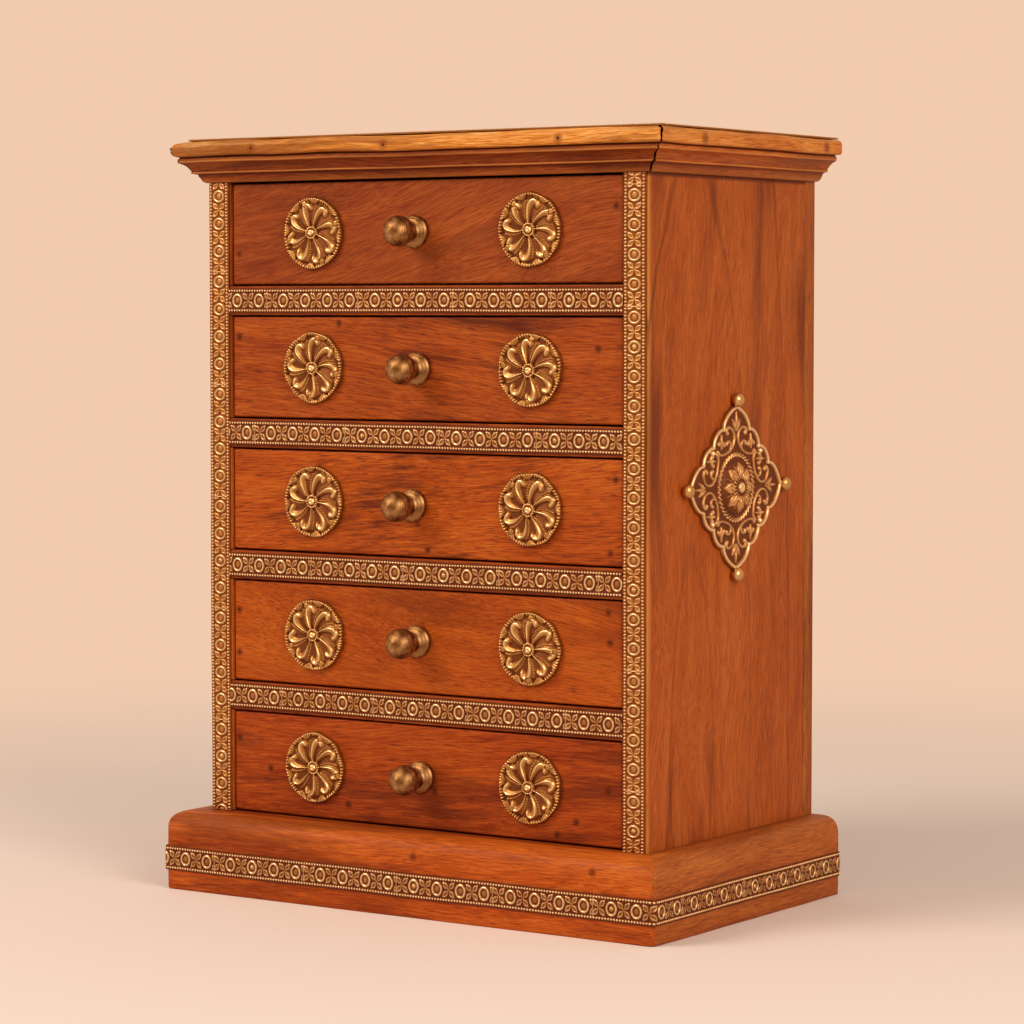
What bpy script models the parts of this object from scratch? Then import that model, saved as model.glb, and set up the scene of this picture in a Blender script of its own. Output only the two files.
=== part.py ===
"""Table-top chest of five drawers in teak, trimmed with stamped brass strips, rosettes and plaques.

Metres, +Z up. The front faces -Y and +X is the viewer's right. The origin is on the floor, under the
middle of the whole chest's box. Every drawer slides out along -Y.
"""
import math

import bmesh
import bpy

# Fits
FIT_GAP = 0.0003
MITRE_SETBACK = 0.00025

# Edges flatter than this are shaded as one smooth surface
MOULDING_SMOOTH_ANGLE = math.radians(30)
BRASS_SMOOTH_ANGLE = math.radians(35)

# Carcass boards
CARCASS_WIDTH = 0.263
CARCASS_DEPTH = 0.158
SIDE_THICKNESS = 0.014
BACK_THICKNESS = 0.0095
TOP_THICKNESS = 0.018
BASE_THICKNESS = 0.012
DIVIDER_THICKNESS = 0.0145
HOUSING_DEPTH = 0.004
DRAWER_COUNT = 5
OPENING_HEIGHT = 0.0524

# Plinth: boards with a broad round on their upper edge
PLINTH_HEIGHT = 0.040
PLINTH_FRONT_OVERHANG = 0.019
PLINTH_SIDE_OVERHANG = 0.0155
PLINTH_ROUND_REACH = 0.0130
PLINTH_ROUND_DROP = 0.0092
PLINTH_ROUND_STEPS = 7

# Cornice: from the top down a fascia, a quirk, a fillet, a cove, a second fillet and a bead
CORNICE_HEIGHT = 0.0205
CORNICE_FRONT_OVERHANG = 0.0135
CORNICE_SIDE_OVERHANG = 0.0155
FASCIA_HEIGHT = 0.0068
FASCIA_ROUND = 0.0026
QUIRK_REACH = 0.0022
QUIRK_DROP = 0.0009
FILLET_DROP = 0.0014
COVE_REACH = 0.0044
COVE_DROP = 0.0056
LOWER_FILLET_DROP = 0.0012
LOWER_FILLET_REACH = 0.0009
MOULDING_ARC_STEPS = 4

# Stamped brass strip
STRIP_WIDTH = 0.0113
STRIP_THICKNESS = 0.0006
STILE_STRIP_DRIFT = 0.0009
PLINTH_STRIP_MIDDLE = 0.0160
TOP_STRIP_INSET = 0.0020

# Drawers
DRAWER_RECESS = 0.0010
DRAWER_FRONT_THICKNESS = 0.0110
DRAWER_FRONT_SIDE_GAP = 0.0014
DRAWER_FRONT_EDGE_GAP = 0.0016
DRAWER_FRONT_EASE = 0.0009
DRAWER_FRONT_EASE_STEPS = 2
DRAWER_SIDE_THICKNESS = 0.0060
DRAWER_SIDE_INSET = 0.0006
DRAWER_SIDE_TOP_DROP = 0.0040
DRAWER_LAP_DEPTH = 0.0060
DRAWER_BACK_THICKNESS = 0.0060
DRAWER_BOTTOM_THICKNESS = 0.0040
DRAWER_END_GAP = 0.0030

# Turned brass knob; the drifts say how far each hand-bored hole is off the middle, top drawer first
KNOB_DRIFTS = (-0.0030, -0.0017, -0.0045, -0.0020, 0.0)
KNOB_FLANGE_DIAMETER = 0.0162
KNOB_FLANGE_THICKNESS = 0.0042
KNOB_FLANGE_EASE = 0.0008
KNOB_NECK_DIAMETER = 0.0086
KNOB_BALL_DIAMETER = 0.0152
KNOB_BALL_CENTRE = 0.0142
KNOB_NUB_DIAMETER = 0.0042
KNOB_NUB_HEIGHT = 0.0007
KNOB_SHANK_DIAMETER = 0.0050
KNOB_SHANK_LENGTH = 0.0078
KNOB_SEGMENTS = 16
KNOB_BALL_STEPS = 6

# Pressed brass rosette: a whirl of petals round a button
ROSETTE_DIAMETER = 0.0364
ROSETTE_SET_OUT = 0.0070
ROSETTE_RIM_HEIGHT = 0.0012
ROSETTE_RIM_WIDTH = 0.0026
ROSETTE_DISH_HEIGHT = 0.0009
ROSETTE_PETAL_HEIGHT = 0.0028
ROSETTE_BUTTON_DIAMETER = 0.0064
ROSETTE_BUTTON_HEIGHT = 0.0036
ROSETTE_PETALS = 8
ROSETTE_STEPS_PER_PETAL = 3
ROSETTE_TWIST = math.radians(38)

# Pressed brass plaque: a scalloped diamond with a domed flower and a ball-headed nail at each tip
PLAQUE_HALF_WIDTH = 0.0440
PLAQUE_HALF_HEIGHT = 0.0405
PLAQUE_ABOVE_MIDDLE = 0.0095
PLAQUE_AHEAD_OF_MIDDLE = 0.0009
PLAQUE_SCALLOPS = 4
PLAQUE_SCALLOP_DEPTH = 0.0024
PLAQUE_STEPS_PER_SCALLOP = 3
PLAQUE_RIM_HEIGHT = 0.0018
PLAQUE_RIM_WIDTH = 0.0020
PLAQUE_FIELD_HEIGHT = 0.0009
PLAQUE_RING_DIAMETER = 0.0340
PLAQUE_RING_WIDTH = 0.0022
PLAQUE_RING_HEIGHT = 0.0020
PLAQUE_BOSS_DIAMETER = 0.0250
PLAQUE_BOSS_HEIGHT = 0.0050
PLAQUE_BOSS_STEPS = 3
STUD_DIAMETER = 0.0064
STUD_FOOT_DIAMETER = 0.0050
STUD_HEIGHT = 0.0048
STUD_BULGE_HEIGHT = 0.0018
STUD_TIP_LAP = 0.0010
STUD_SEGMENTS = 10
STUD_ARC_STEPS = 3

# Worked out from the driving dimensions
DIVIDER_COUNT = DRAWER_COUNT - 1
HALF_WIDTH = CARCASS_WIDTH / 2
HALF_DEPTH = CARCASS_DEPTH / 2
FRONT_Y = -HALF_DEPTH
BACK_Y = HALF_DEPTH
INNER_HALF_WIDTH = HALF_WIDTH - SIDE_THICKNESS
INNER_BACK_Y = BACK_Y - BACK_THICKNESS
CORNICE_BOTTOM = PLINTH_HEIGHT + DRAWER_COUNT * OPENING_HEIGHT + DIVIDER_COUNT * DIVIDER_THICKNESS
TOP_Z = CORNICE_BOTTOM + CORNICE_HEIGHT
TOP_UNDERSIDE = TOP_Z - TOP_THICKNESS
DRAWER_FACE_Y = FRONT_Y + DRAWER_RECESS
KNOB_REACH = FIT_GAP + KNOB_BALL_CENTRE + KNOB_BALL_DIAMETER / 2 + KNOB_NUB_HEIGHT
PLINTH_STRIP_OUTSIDE = FIT_GAP + STRIP_THICKNESS
FRONT_REACH = max(PLINTH_FRONT_OVERHANG + PLINTH_STRIP_OUTSIDE, KNOB_REACH - DRAWER_RECESS)
PLAN_SHIFT = FRONT_REACH / 2


def clear_scene():
    """Start from an empty scene."""
    for thing in list(bpy.data.objects):
        bpy.data.objects.remove(thing, do_unlink=True)


def finish(name, colour, roughness, metallic):
    """A Principled material with one colour, roughness and metallic value."""
    made = bpy.data.materials.new(name)
    made.use_nodes = True
    shader = made.node_tree.nodes["Principled BSDF"]
    shader.inputs["Base Color"].default_value = (*colour, 1.0)
    shader.inputs["Roughness"].default_value = roughness
    shader.inputs["Metallic"].default_value = metallic
    made.diffuse_color = (*colour, 1.0)
    return made


def empty(name, location, parent=None):
    """A plain axis that carries other pieces."""
    carrier = bpy.data.objects.new(name, None)
    carrier.location = location
    carrier.parent = parent
    bpy.context.scene.collection.objects.link(carrier)
    return carrier


def piece(name, shape, material, parent, location, smooth_angle=None):
    """Turn a bmesh into a named object under its carrier, with its faces pointing out."""
    bmesh.ops.recalc_face_normals(shape, faces=shape.faces[:])
    mesh = bpy.data.meshes.new(name)
    shape.to_mesh(mesh)
    shape.free()
    mesh.materials.append(material)
    if smooth_angle is not None:
        mesh.shade_smooth()
        mesh.set_sharp_from_angle(angle=smooth_angle)
    made = bpy.data.objects.new(name, mesh)
    made.location = location
    made.parent = parent
    bpy.context.scene.collection.objects.link(made)
    return made


def cutter(name, shape, parent, location):
    """A guide shape for a Boolean, kept out of the chest itself."""
    bmesh.ops.recalc_face_normals(shape, faces=shape.faces[:])
    mesh = bpy.data.meshes.new(name)
    shape.to_mesh(mesh)
    shape.free()
    made = bpy.data.objects.new(name, mesh)
    made.location = location
    made.parent = parent
    made.hide_render = True
    made.display_type = "WIRE"
    bpy.context.scene.collection.objects.link(made)
    return made


def boolean(target, tool, operation):
    """Cut or join a guide shape with the exact solver."""
    modifier = target.modifiers.new(tool.name, "BOOLEAN")
    modifier.operation = operation
    modifier.solver = "EXACT"
    modifier.object = tool


def skin_loops(shape, loops):
    """Join each loop of vertices to the next with four-sided faces."""
    count = len(loops[0])
    for one, other in zip(loops, loops[1:]):
        for i in range(count):
            j = (i + 1) % count
            shape.faces.new((one[i], one[j], other[j], other[i]))


def prism(outline, low, high, axis):
    """Extrude a flat outline from low to high: an XZ outline along Y, or an XY outline along Z."""
    shape = bmesh.new()
    loops = []
    for run in (low, high):
        corners = [(a, run, b) if axis == "Y" else (a, b, run) for a, b in outline]
        loops.append([shape.verts.new(corner) for corner in corners])
    skin_loops(shape, loops)
    for loop in loops:
        shape.faces.new(loop)
    return shape


def board(name, low, high, material, parent):
    """A plain rectangular board between two corners, with its origin at its middle."""
    middle = [(a + b) / 2 for a, b in zip(low, high)]
    half = [(b - a) / 2 for a, b in zip(low, high)]
    rectangle = [(-half[0], -half[1]), (half[0], -half[1]), (half[0], half[1]), (-half[0], half[1])]
    return piece(name, prism(rectangle, -half[2], half[2], "Z"), material, parent, middle)


def lathe(profile, segments):
    """Turn (radius, distance along -Y) points about the Y axis; a zero radius closes an end to a point."""
    shape = bmesh.new()
    rings = []
    for radius, along in profile:
        if radius == 0:
            rings.append([shape.verts.new((0, -along, 0))])
            continue
        ring = []
        for i in range(segments):
            turn = 2 * math.pi * i / segments
            ring.append(shape.verts.new((radius * math.cos(turn), -along, radius * math.sin(turn))))
        rings.append(ring)
    for one, other in zip(rings, rings[1:]):
        for i in range(segments):
            j = (i + 1) % segments
            corners = [one[i % len(one)], one[j % len(one)], other[j % len(other)], other[i % len(other)]]
            shape.faces.new(list(dict.fromkeys(corners)))
    for end in (rings[0], rings[-1]):
        if len(end) > 1:
            shape.faces.new(end)
    return shape


def arc(centre, reach, start, stop, steps):
    """Points of an elliptical arc about a centre, with angles in degrees."""
    points = []
    for i in range(steps + 1):
        turn = math.radians(start + (stop - start) * i / steps)
        points.append((centre[0] + reach[0] * math.cos(turn), centre[1] + reach[1] * math.sin(turn)))
    return points


def floor_height(number):
    """Height of the upper face of the divider or base that a drawer runs on; drawer 1 is at the top."""
    from_below = DRAWER_COUNT - number
    return PLINTH_HEIGHT + from_below * (OPENING_HEIGHT + DIVIDER_THICKNESS)


def side_panel(side, material, parent):
    """A side of the carcass, with a housing across it for the base board and for each divider."""
    housed = [(PLINTH_HEIGHT - BASE_THICKNESS, PLINTH_HEIGHT)]
    for number in range(DIVIDER_COUNT, 0, -1):
        housed.append((floor_height(number) - DIVIDER_THICKNESS, floor_height(number)))
    outer = HALF_WIDTH
    inner = INNER_HALF_WIDTH
    bed = inner + HOUSING_DEPTH
    outline = [(outer, 0), (inner, 0)]
    for low, high in housed:
        foot = low - FIT_GAP
        head = high + FIT_GAP
        outline += [(inner, foot), (bed, foot), (bed, head), (inner, head)]
    outline += [(inner, TOP_UNDERSIDE - FIT_GAP), (outer, TOP_UNDERSIDE - FIT_GAP)]
    sign = 1 if side == "right" else -1
    outline = [(sign * x, z) for x, z in outline]
    shape = prism(outline, FRONT_Y, INNER_BACK_Y - FIT_GAP, "Y")
    return piece("side_panel_" + side, shape, material, parent, (0, 0, 0))


def carcass_boards(material, parent):
    """The sides, the back, the top, the base and the dividers."""
    for side in ("left", "right"):
        side_panel(side, material, parent)
    board("back_panel", (-HALF_WIDTH, INNER_BACK_Y, 0), (HALF_WIDTH, BACK_Y, TOP_UNDERSIDE - FIT_GAP),
          material, parent)
    board("top_board", (-HALF_WIDTH, FRONT_Y, TOP_UNDERSIDE), (HALF_WIDTH, BACK_Y, TOP_Z), material, parent)
    tongue = INNER_HALF_WIDTH + HOUSING_DEPTH - FIT_GAP
    inside_back = INNER_BACK_Y - FIT_GAP
    board("base_board", (-tongue, FRONT_Y, PLINTH_HEIGHT - BASE_THICKNESS),
          (tongue, inside_back, PLINTH_HEIGHT), material, parent)
    for number in range(1, DIVIDER_COUNT + 1):
        top = floor_height(number)
        board(f"divider_{number}", (-tongue, FRONT_Y, top - DIVIDER_THICKNESS), (tongue, inside_back, top),
              material, parent)


def plinth_profile(overhang):
    """Section of a plinth board as (distance in from its outer face, height)."""
    round_over = arc((PLINTH_ROUND_REACH, PLINTH_HEIGHT - PLINTH_ROUND_DROP),
                     (PLINTH_ROUND_REACH, PLINTH_ROUND_DROP), 180, 90, PLINTH_ROUND_STEPS)
    inner = overhang - FIT_GAP
    return [(inner, 0), (0, 0)] + round_over + [(inner, PLINTH_HEIGHT)]


def cornice_profile(overhang):
    """Section of a cornice length as (distance in from its outer face, height)."""
    inner = overhang - FIT_GAP
    fascia_foot = TOP_Z - FASCIA_HEIGHT
    quirk_foot = fascia_foot - QUIRK_DROP
    cove_head = quirk_foot - FILLET_DROP
    cove_foot = cove_head - COVE_DROP
    cove_inside = QUIRK_REACH + COVE_REACH
    bead_head = cove_foot - LOWER_FILLET_DROP
    bead_outside = cove_inside + LOWER_FILLET_REACH
    top_edge = arc((FASCIA_ROUND, TOP_Z - FASCIA_ROUND), (FASCIA_ROUND, FASCIA_ROUND), 90, 180,
                   MOULDING_ARC_STEPS)
    cove = arc((QUIRK_REACH, cove_foot), (COVE_REACH, COVE_DROP), 90, 0, MOULDING_ARC_STEPS)
    bead = arc((inner, bead_head), (inner - bead_outside, bead_head - CORNICE_BOTTOM), 180, 270,
               MOULDING_ARC_STEPS)
    return ([(inner, TOP_Z)] + top_edge + [(0, fascia_foot), (QUIRK_REACH, quirk_foot)] + cove
            + [(cove_inside, bead_head)] + bead)


def moulding_front(name, profile, front_overhang, side_overhang, material, parent):
    """A front length, mitred at each end from the outer corner to the carcass corner."""
    shape = bmesh.new()
    loops = []
    for sign in (-1, 1):
        loop = []
        for inward, height in profile:
            end = HALF_WIDTH + side_overhang * (1 - inward / front_overhang) - MITRE_SETBACK
            loop.append(shape.verts.new((sign * end, FRONT_Y - front_overhang + inward, height)))
        loops.append(loop)
    skin_loops(shape, loops)
    for loop in loops:
        shape.faces.new(loop)
    return piece(name, shape, material, parent, (0, 0, 0), MOULDING_SMOOTH_ANGLE)


def moulding_side(name, side, profile, front_overhang, side_overhang, material, parent):
    """A side length with a mitre at the front and a square end flush with the back."""
    sign = 1 if side == "right" else -1
    shape = bmesh.new()
    front_loop = []
    back_loop = []
    for inward, height in profile:
        across = sign * (HALF_WIDTH + side_overhang - inward)
        start = FRONT_Y - front_overhang * (1 - inward / side_overhang) + MITRE_SETBACK
        front_loop.append(shape.verts.new((across, start, height)))
        back_loop.append(shape.verts.new((across, BACK_Y, height)))
    skin_loops(shape, [front_loop, back_loop])
    for loop in (front_loop, back_loop):
        shape.faces.new(loop)
    return piece(name, shape, material, parent, (0, 0, 0), MOULDING_SMOOTH_ANGLE)


def mouldings(plinth_material, cornice_material, parent):
    """The plinth and the cornice, each in three lengths round the front and the sides."""
    moulding_front("plinth_front", plinth_profile(PLINTH_FRONT_OVERHANG), PLINTH_FRONT_OVERHANG,
                   PLINTH_SIDE_OVERHANG, plinth_material, parent)
    moulding_front("cornice_front", cornice_profile(CORNICE_FRONT_OVERHANG), CORNICE_FRONT_OVERHANG,
                   CORNICE_SIDE_OVERHANG, cornice_material, parent)
    for side in ("left", "right"):
        moulding_side("plinth_" + side, side, plinth_profile(PLINTH_SIDE_OVERHANG), PLINTH_FRONT_OVERHANG,
                      PLINTH_SIDE_OVERHANG, plinth_material, parent)
        moulding_side("cornice_" + side, side, cornice_profile(CORNICE_SIDE_OVERHANG), CORNICE_FRONT_OVERHANG,
                      CORNICE_SIDE_OVERHANG, cornice_material, parent)


def face_strips(material, parent):
    """The brass on the front edges: a strip up each side and one along each divider, as one ladder."""
    half = STRIP_WIDTH / 2
    stile_middle = HALF_WIDTH - SIDE_THICKNESS / 2
    left = -stile_middle - STILE_STRIP_DRIFT
    right = stile_middle - STILE_STRIP_DRIFT
    across = [left - half, left + half, right - half, right + half]
    levels = [PLINTH_HEIGHT + FIT_GAP]
    for number in range(DIVIDER_COUNT, 0, -1):
        middle = floor_height(number) - DIVIDER_THICKNESS / 2
        levels += [middle - half, middle + half]
    levels.append(CORNICE_BOTTOM - FIT_GAP)
    shape = bmesh.new()
    back = FRONT_Y - FIT_GAP
    grid = [[shape.verts.new((x, back, z)) for x in across] for z in levels]
    cells = []
    for row in range(len(levels) - 1):
        is_rail = row % 2 == 1
        below = grid[row]
        above = grid[row + 1]
        for column in range(len(across) - 1):
            if column == 1 and not is_rail:
                continue
            beside = column + 1
            cells.append(shape.faces.new((below[column], below[beside], above[beside], above[column])))
    grown = bmesh.ops.extrude_face_region(shape, geom=cells)["geom"]
    risen = [item for item in grown if isinstance(item, bmesh.types.BMVert)]
    bmesh.ops.translate(shape, vec=(0, -STRIP_THICKNESS, 0), verts=risen)
    return piece("face_strips", shape, material, parent, (0, 0, 0))


def u_band(half_across, front, thickness, back):
    """Outline of a band that runs along the left side, the front and the right side."""
    inside = half_across - thickness
    return [(-half_across, back), (-half_across, front), (half_across, front), (half_across, back),
            (inside, back), (inside, front + thickness), (-inside, front + thickness), (-inside, back)]


def wrapped_strips(material, parent):
    """The strip round the plinth and the strip laid round the edge of the top."""
    outside = HALF_WIDTH + PLINTH_SIDE_OVERHANG + PLINTH_STRIP_OUTSIDE
    front = FRONT_Y - PLINTH_FRONT_OVERHANG - PLINTH_STRIP_OUTSIDE
    low = PLINTH_STRIP_MIDDLE - STRIP_WIDTH / 2
    band = u_band(outside, front, STRIP_THICKNESS, BACK_Y)
    piece("plinth_strip", prism(band, low, low + STRIP_WIDTH, "Z"), material, parent, (0, 0, 0))
    edge = HALF_WIDTH + CORNICE_SIDE_OVERHANG - TOP_STRIP_INSET
    lip = FRONT_Y - CORNICE_FRONT_OVERHANG + TOP_STRIP_INSET
    flat = u_band(edge, lip, STRIP_WIDTH, BACK_Y)
    seat = TOP_Z + FIT_GAP
    piece("top_strip", prism(flat, seat, seat + STRIP_THICKNESS, "Z"), material, parent, (0, 0, 0))


def plaque_loop(shape, depth, inset, roundness, radius):
    """One loop of a plaque: the scalloped diamond drawn in by inset and blended towards a circle."""
    tips = [(PLAQUE_HALF_WIDTH, 0), (0, PLAQUE_HALF_HEIGHT),
            (-PLAQUE_HALF_WIDTH, 0), (0, -PLAQUE_HALF_HEIGHT)]
    steps = PLAQUE_SCALLOPS * PLAQUE_STEPS_PER_SCALLOP
    loop = []
    for number, tip in enumerate(tips):
        following = tips[(number + 1) % len(tips)]
        run = (following[0] - tip[0], following[1] - tip[1])
        length = math.hypot(*run)
        outward = (run[1] / length, -run[0] / length)
        for i in range(steps):
            share = i / steps
            swell = PLAQUE_SCALLOP_DEPTH * abs(math.sin(math.pi * PLAQUE_SCALLOPS * share))
            across = tip[0] + run[0] * share + outward[0] * swell
            up = tip[1] + run[1] * share + outward[1] * swell
            distance = math.hypot(across, up)
            shrink = (distance - inset) / distance
            reach = shrink * (1 - roundness) + radius / distance * roundness
            loop.append(shape.verts.new((across * reach, -depth, up * reach)))
    return loop


def plaque(side, material, parent):
    """A pressed diamond on a side panel, joined with the nail heads at its four tips."""
    ring_outside = PLAQUE_RING_DIAMETER / 2
    ring_inside = ring_outside - PLAQUE_RING_WIDTH
    boss = PLAQUE_BOSS_DIAMETER / 2
    shape = bmesh.new()
    loops = [plaque_loop(shape, 0, 0, 0, 0),
             plaque_loop(shape, PLAQUE_RIM_HEIGHT, PLAQUE_RIM_WIDTH / 2, 0, 0),
             plaque_loop(shape, PLAQUE_FIELD_HEIGHT, PLAQUE_RIM_WIDTH, 0, 0),
             plaque_loop(shape, PLAQUE_FIELD_HEIGHT, 0, 1, ring_outside),
             plaque_loop(shape, PLAQUE_RING_HEIGHT, 0, 1, (ring_outside + ring_inside) / 2),
             plaque_loop(shape, PLAQUE_FIELD_HEIGHT, 0, 1, ring_inside),
             plaque_loop(shape, PLAQUE_FIELD_HEIGHT, 0, 1, boss)]
    dome = arc((0, PLAQUE_FIELD_HEIGHT), (boss, PLAQUE_BOSS_HEIGHT - PLAQUE_FIELD_HEIGHT), 0, 90,
               PLAQUE_BOSS_STEPS)
    for radius, height in dome[1:-1]:
        loops.append(plaque_loop(shape, height, 0, 1, radius))
    skin_loops(shape, loops)
    shape.faces.new(loops[0])
    crown = shape.verts.new((0, -PLAQUE_BOSS_HEIGHT, 0))
    last = loops[-1]
    for i in range(len(last)):
        shape.faces.new((last[i], last[(i + 1) % len(last)], crown))
    sign = 1 if side == "right" else -1
    middle = (PLINTH_HEIGHT + CORNICE_BOTTOM) / 2 + PLAQUE_ABOVE_MIDDLE
    place = (sign * (HALF_WIDTH + FIT_GAP), -PLAQUE_AHEAD_OF_MIDDLE, middle)
    turn = (0, 0, sign * math.pi / 2)
    made = piece("plaque_" + side, shape, material, parent, place, BRASS_SMOOTH_ANGLE)
    made.rotation_euler = turn
    studs = cutter("studs_" + side, stud_heads(), parent, place)
    studs.rotation_euler = turn
    boolean(made, studs, "UNION")
    return made


def stud_heads():
    """Four ball-headed nails, one past each tip of the plaque."""
    dome = arc((0, STUD_BULGE_HEIGHT), (STUD_DIAMETER / 2, STUD_HEIGHT - STUD_BULGE_HEIGHT), 0, 90,
               STUD_ARC_STEPS)
    profile = [(STUD_FOOT_DIAMETER / 2, 0)] + dome[:-1] + [(0, STUD_HEIGHT)]
    past_tip = STUD_DIAMETER / 2 - STUD_TIP_LAP
    across = PLAQUE_HALF_WIDTH + past_tip
    up = PLAQUE_HALF_HEIGHT + past_tip
    heads = bmesh.new()
    for x, z in ((across, 0), (0, up), (-across, 0), (0, -up)):
        head = lathe(profile, STUD_SEGMENTS)
        bmesh.ops.translate(head, vec=(x, 0, z), verts=head.verts[:])
        single = bpy.data.meshes.new("stud_head")
        head.to_mesh(single)
        head.free()
        heads.from_mesh(single)
        bpy.data.meshes.remove(single)
    return heads


def rosette(name, material, parent, location):
    """A pressed whirl: rings of points, turned more the farther out they are and raised along each petal."""
    steps = ROSETTE_PETALS * ROSETTE_STEPS_PER_PETAL
    outer = ROSETTE_DIAMETER / 2
    field = outer - ROSETTE_RIM_WIDTH
    button = ROSETTE_BUTTON_DIAMETER / 2
    middle = (field + button) / 2
    shape = bmesh.new()

    def ring(radius, low, high, twist_share):
        points = []
        for i in range(steps):
            turn = 2 * math.pi * i / steps - ROSETTE_TWIST * twist_share
            height = high if i % ROSETTE_STEPS_PER_PETAL == 0 else low
            points.append(shape.verts.new((radius * math.cos(turn), -height, radius * math.sin(turn))))
        return points

    loops = [ring(outer, 0, 0, 1),
             ring(outer - ROSETTE_RIM_WIDTH / 2, ROSETTE_RIM_HEIGHT, ROSETTE_RIM_HEIGHT, 1),
             ring(field, ROSETTE_DISH_HEIGHT, ROSETTE_DISH_HEIGHT, 1),
             ring(middle, ROSETTE_DISH_HEIGHT, ROSETTE_PETAL_HEIGHT, 0.5),
             ring(button, ROSETTE_DISH_HEIGHT, ROSETTE_PETAL_HEIGHT, 0),
             ring(button / 2, ROSETTE_BUTTON_HEIGHT, ROSETTE_BUTTON_HEIGHT, 0)]
    skin_loops(shape, loops)
    for end in (loops[0], loops[-1]):
        shape.faces.new(end)
    return piece(name, shape, material, parent, location, BRASS_SMOOTH_ANGLE)


def knob_profile():
    """Outline of the knob from the shank's end to its tip, as (radius, distance out from the seat)."""
    flange = KNOB_FLANGE_DIAMETER / 2
    ball = KNOB_BALL_DIAMETER / 2
    neck = KNOB_NECK_DIAMETER / 2
    shank = KNOB_SHANK_DIAMETER / 2
    nub = KNOB_NUB_DIAMETER / 2
    neck_turn = math.degrees(math.asin(neck / ball))
    nub_turn = math.degrees(math.asin(nub / ball))
    profile = [(shank, -KNOB_SHANK_LENGTH), (shank, 0), (flange, 0), (flange, KNOB_FLANGE_THICKNESS / 2),
               (flange - KNOB_FLANGE_EASE, KNOB_FLANGE_THICKNESS - KNOB_FLANGE_EASE),
               (neck + KNOB_FLANGE_EASE, KNOB_FLANGE_THICKNESS),
               (neck, KNOB_FLANGE_THICKNESS + KNOB_FLANGE_EASE)]
    for i in range(KNOB_BALL_STEPS + 1):
        turn = math.radians(180 - neck_turn + (nub_turn - 180 + neck_turn) * i / KNOB_BALL_STEPS)
        profile.append((ball * math.sin(turn), KNOB_BALL_CENTRE + ball * math.cos(turn)))
    tip = KNOB_BALL_CENTRE + ball + KNOB_NUB_HEIGHT
    return profile + [(nub / 2, tip)]


def drawer_front(name, half_width, height, hole_across, material, parent):
    """A drawer front, lapped at its ends for the sides, eased round its face and bored for the knob."""
    lap = DRAWER_SIDE_INSET + DRAWER_SIDE_THICKNESS + FIT_GAP
    shoulder = DRAWER_FRONT_THICKNESS - DRAWER_LAP_DEPTH
    outline = [(-half_width, 0), (half_width, 0), (half_width, shoulder), (half_width - lap, shoulder),
               (half_width - lap, DRAWER_FRONT_THICKNESS), (-half_width + lap, DRAWER_FRONT_THICKNESS),
               (-half_width + lap, shoulder), (-half_width, shoulder)]
    shape = prism(outline, 0, height, "Z")
    face_edges = [edge for edge in shape.edges if all(abs(vert.co.y) < FIT_GAP for vert in edge.verts)]
    bmesh.ops.bevel(shape, geom=face_edges, offset=DRAWER_FRONT_EASE, offset_type="OFFSET",
                    segments=DRAWER_FRONT_EASE_STEPS, profile=0.5, affect="EDGES")
    made = piece(name, shape, material, parent, (0, 0, 0))
    hole_radius = KNOB_SHANK_DIAMETER / 2 + FIT_GAP
    drill = lathe([(hole_radius, -KNOB_SHANK_LENGTH), (hole_radius, FIT_GAP)], KNOB_SEGMENTS)
    boolean(made, cutter(name + "_drill", drill, parent, (hole_across, 0, height / 2)), "DIFFERENCE")
    return made


def drawer(number, materials, parent):
    """One drawer on its own carrier, which stands at the middle of the lower edge of the drawer's face."""
    front_half = INNER_HALF_WIDTH - DRAWER_FRONT_SIDE_GAP
    front_height = OPENING_HEIGHT - 2 * DRAWER_FRONT_EDGE_GAP
    floor = floor_height(number)
    carrier = empty(f"drawer_{number}", (0, DRAWER_FACE_Y, floor + DRAWER_FRONT_EDGE_GAP), parent)
    name = f"drawer_{number}_"
    knob_across = KNOB_DRIFTS[number - 1]
    drawer_front(name + "front", front_half, front_height, knob_across, materials["front"], carrier)
    outside = front_half - DRAWER_SIDE_INSET
    inside = outside - DRAWER_SIDE_THICKNESS
    side_start = DRAWER_FRONT_THICKNESS - DRAWER_LAP_DEPTH + FIT_GAP
    end = INNER_BACK_Y - DRAWER_FACE_Y - DRAWER_END_GAP
    bottom_low = FIT_GAP - DRAWER_FRONT_EDGE_GAP
    bottom_high = bottom_low + DRAWER_BOTTOM_THICKNESS
    side_low = bottom_high + FIT_GAP
    side_high = front_height - DRAWER_SIDE_TOP_DROP
    for side, sign in (("left", -1), ("right", 1)):
        edges = sorted((sign * inside, sign * outside))
        board(name + "side_" + side, (edges[0], side_start, side_low), (edges[1], end, side_high),
              materials["lining"], carrier)
    board(name + "back", (-inside + FIT_GAP, end - DRAWER_BACK_THICKNESS, side_low),
          (inside - FIT_GAP, end, side_high), materials["lining"], carrier)
    board(name + "bottom", (-outside, DRAWER_FRONT_THICKNESS + FIT_GAP, bottom_low),
          (outside, end, bottom_high), materials["lining"], carrier)
    middle = front_height / 2
    piece(name + "knob", lathe(knob_profile(), KNOB_SEGMENTS), materials["knob"], carrier,
          (knob_across, -FIT_GAP, middle), BRASS_SMOOTH_ANGLE)
    rosette_middle = front_half / 2 + ROSETTE_SET_OUT
    for side, sign in (("left", -1), ("right", 1)):
        rosette(f"rosette_{number}_{side}", materials["rosette"], carrier,
                (sign * rosette_middle, -FIT_GAP, middle))


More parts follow.
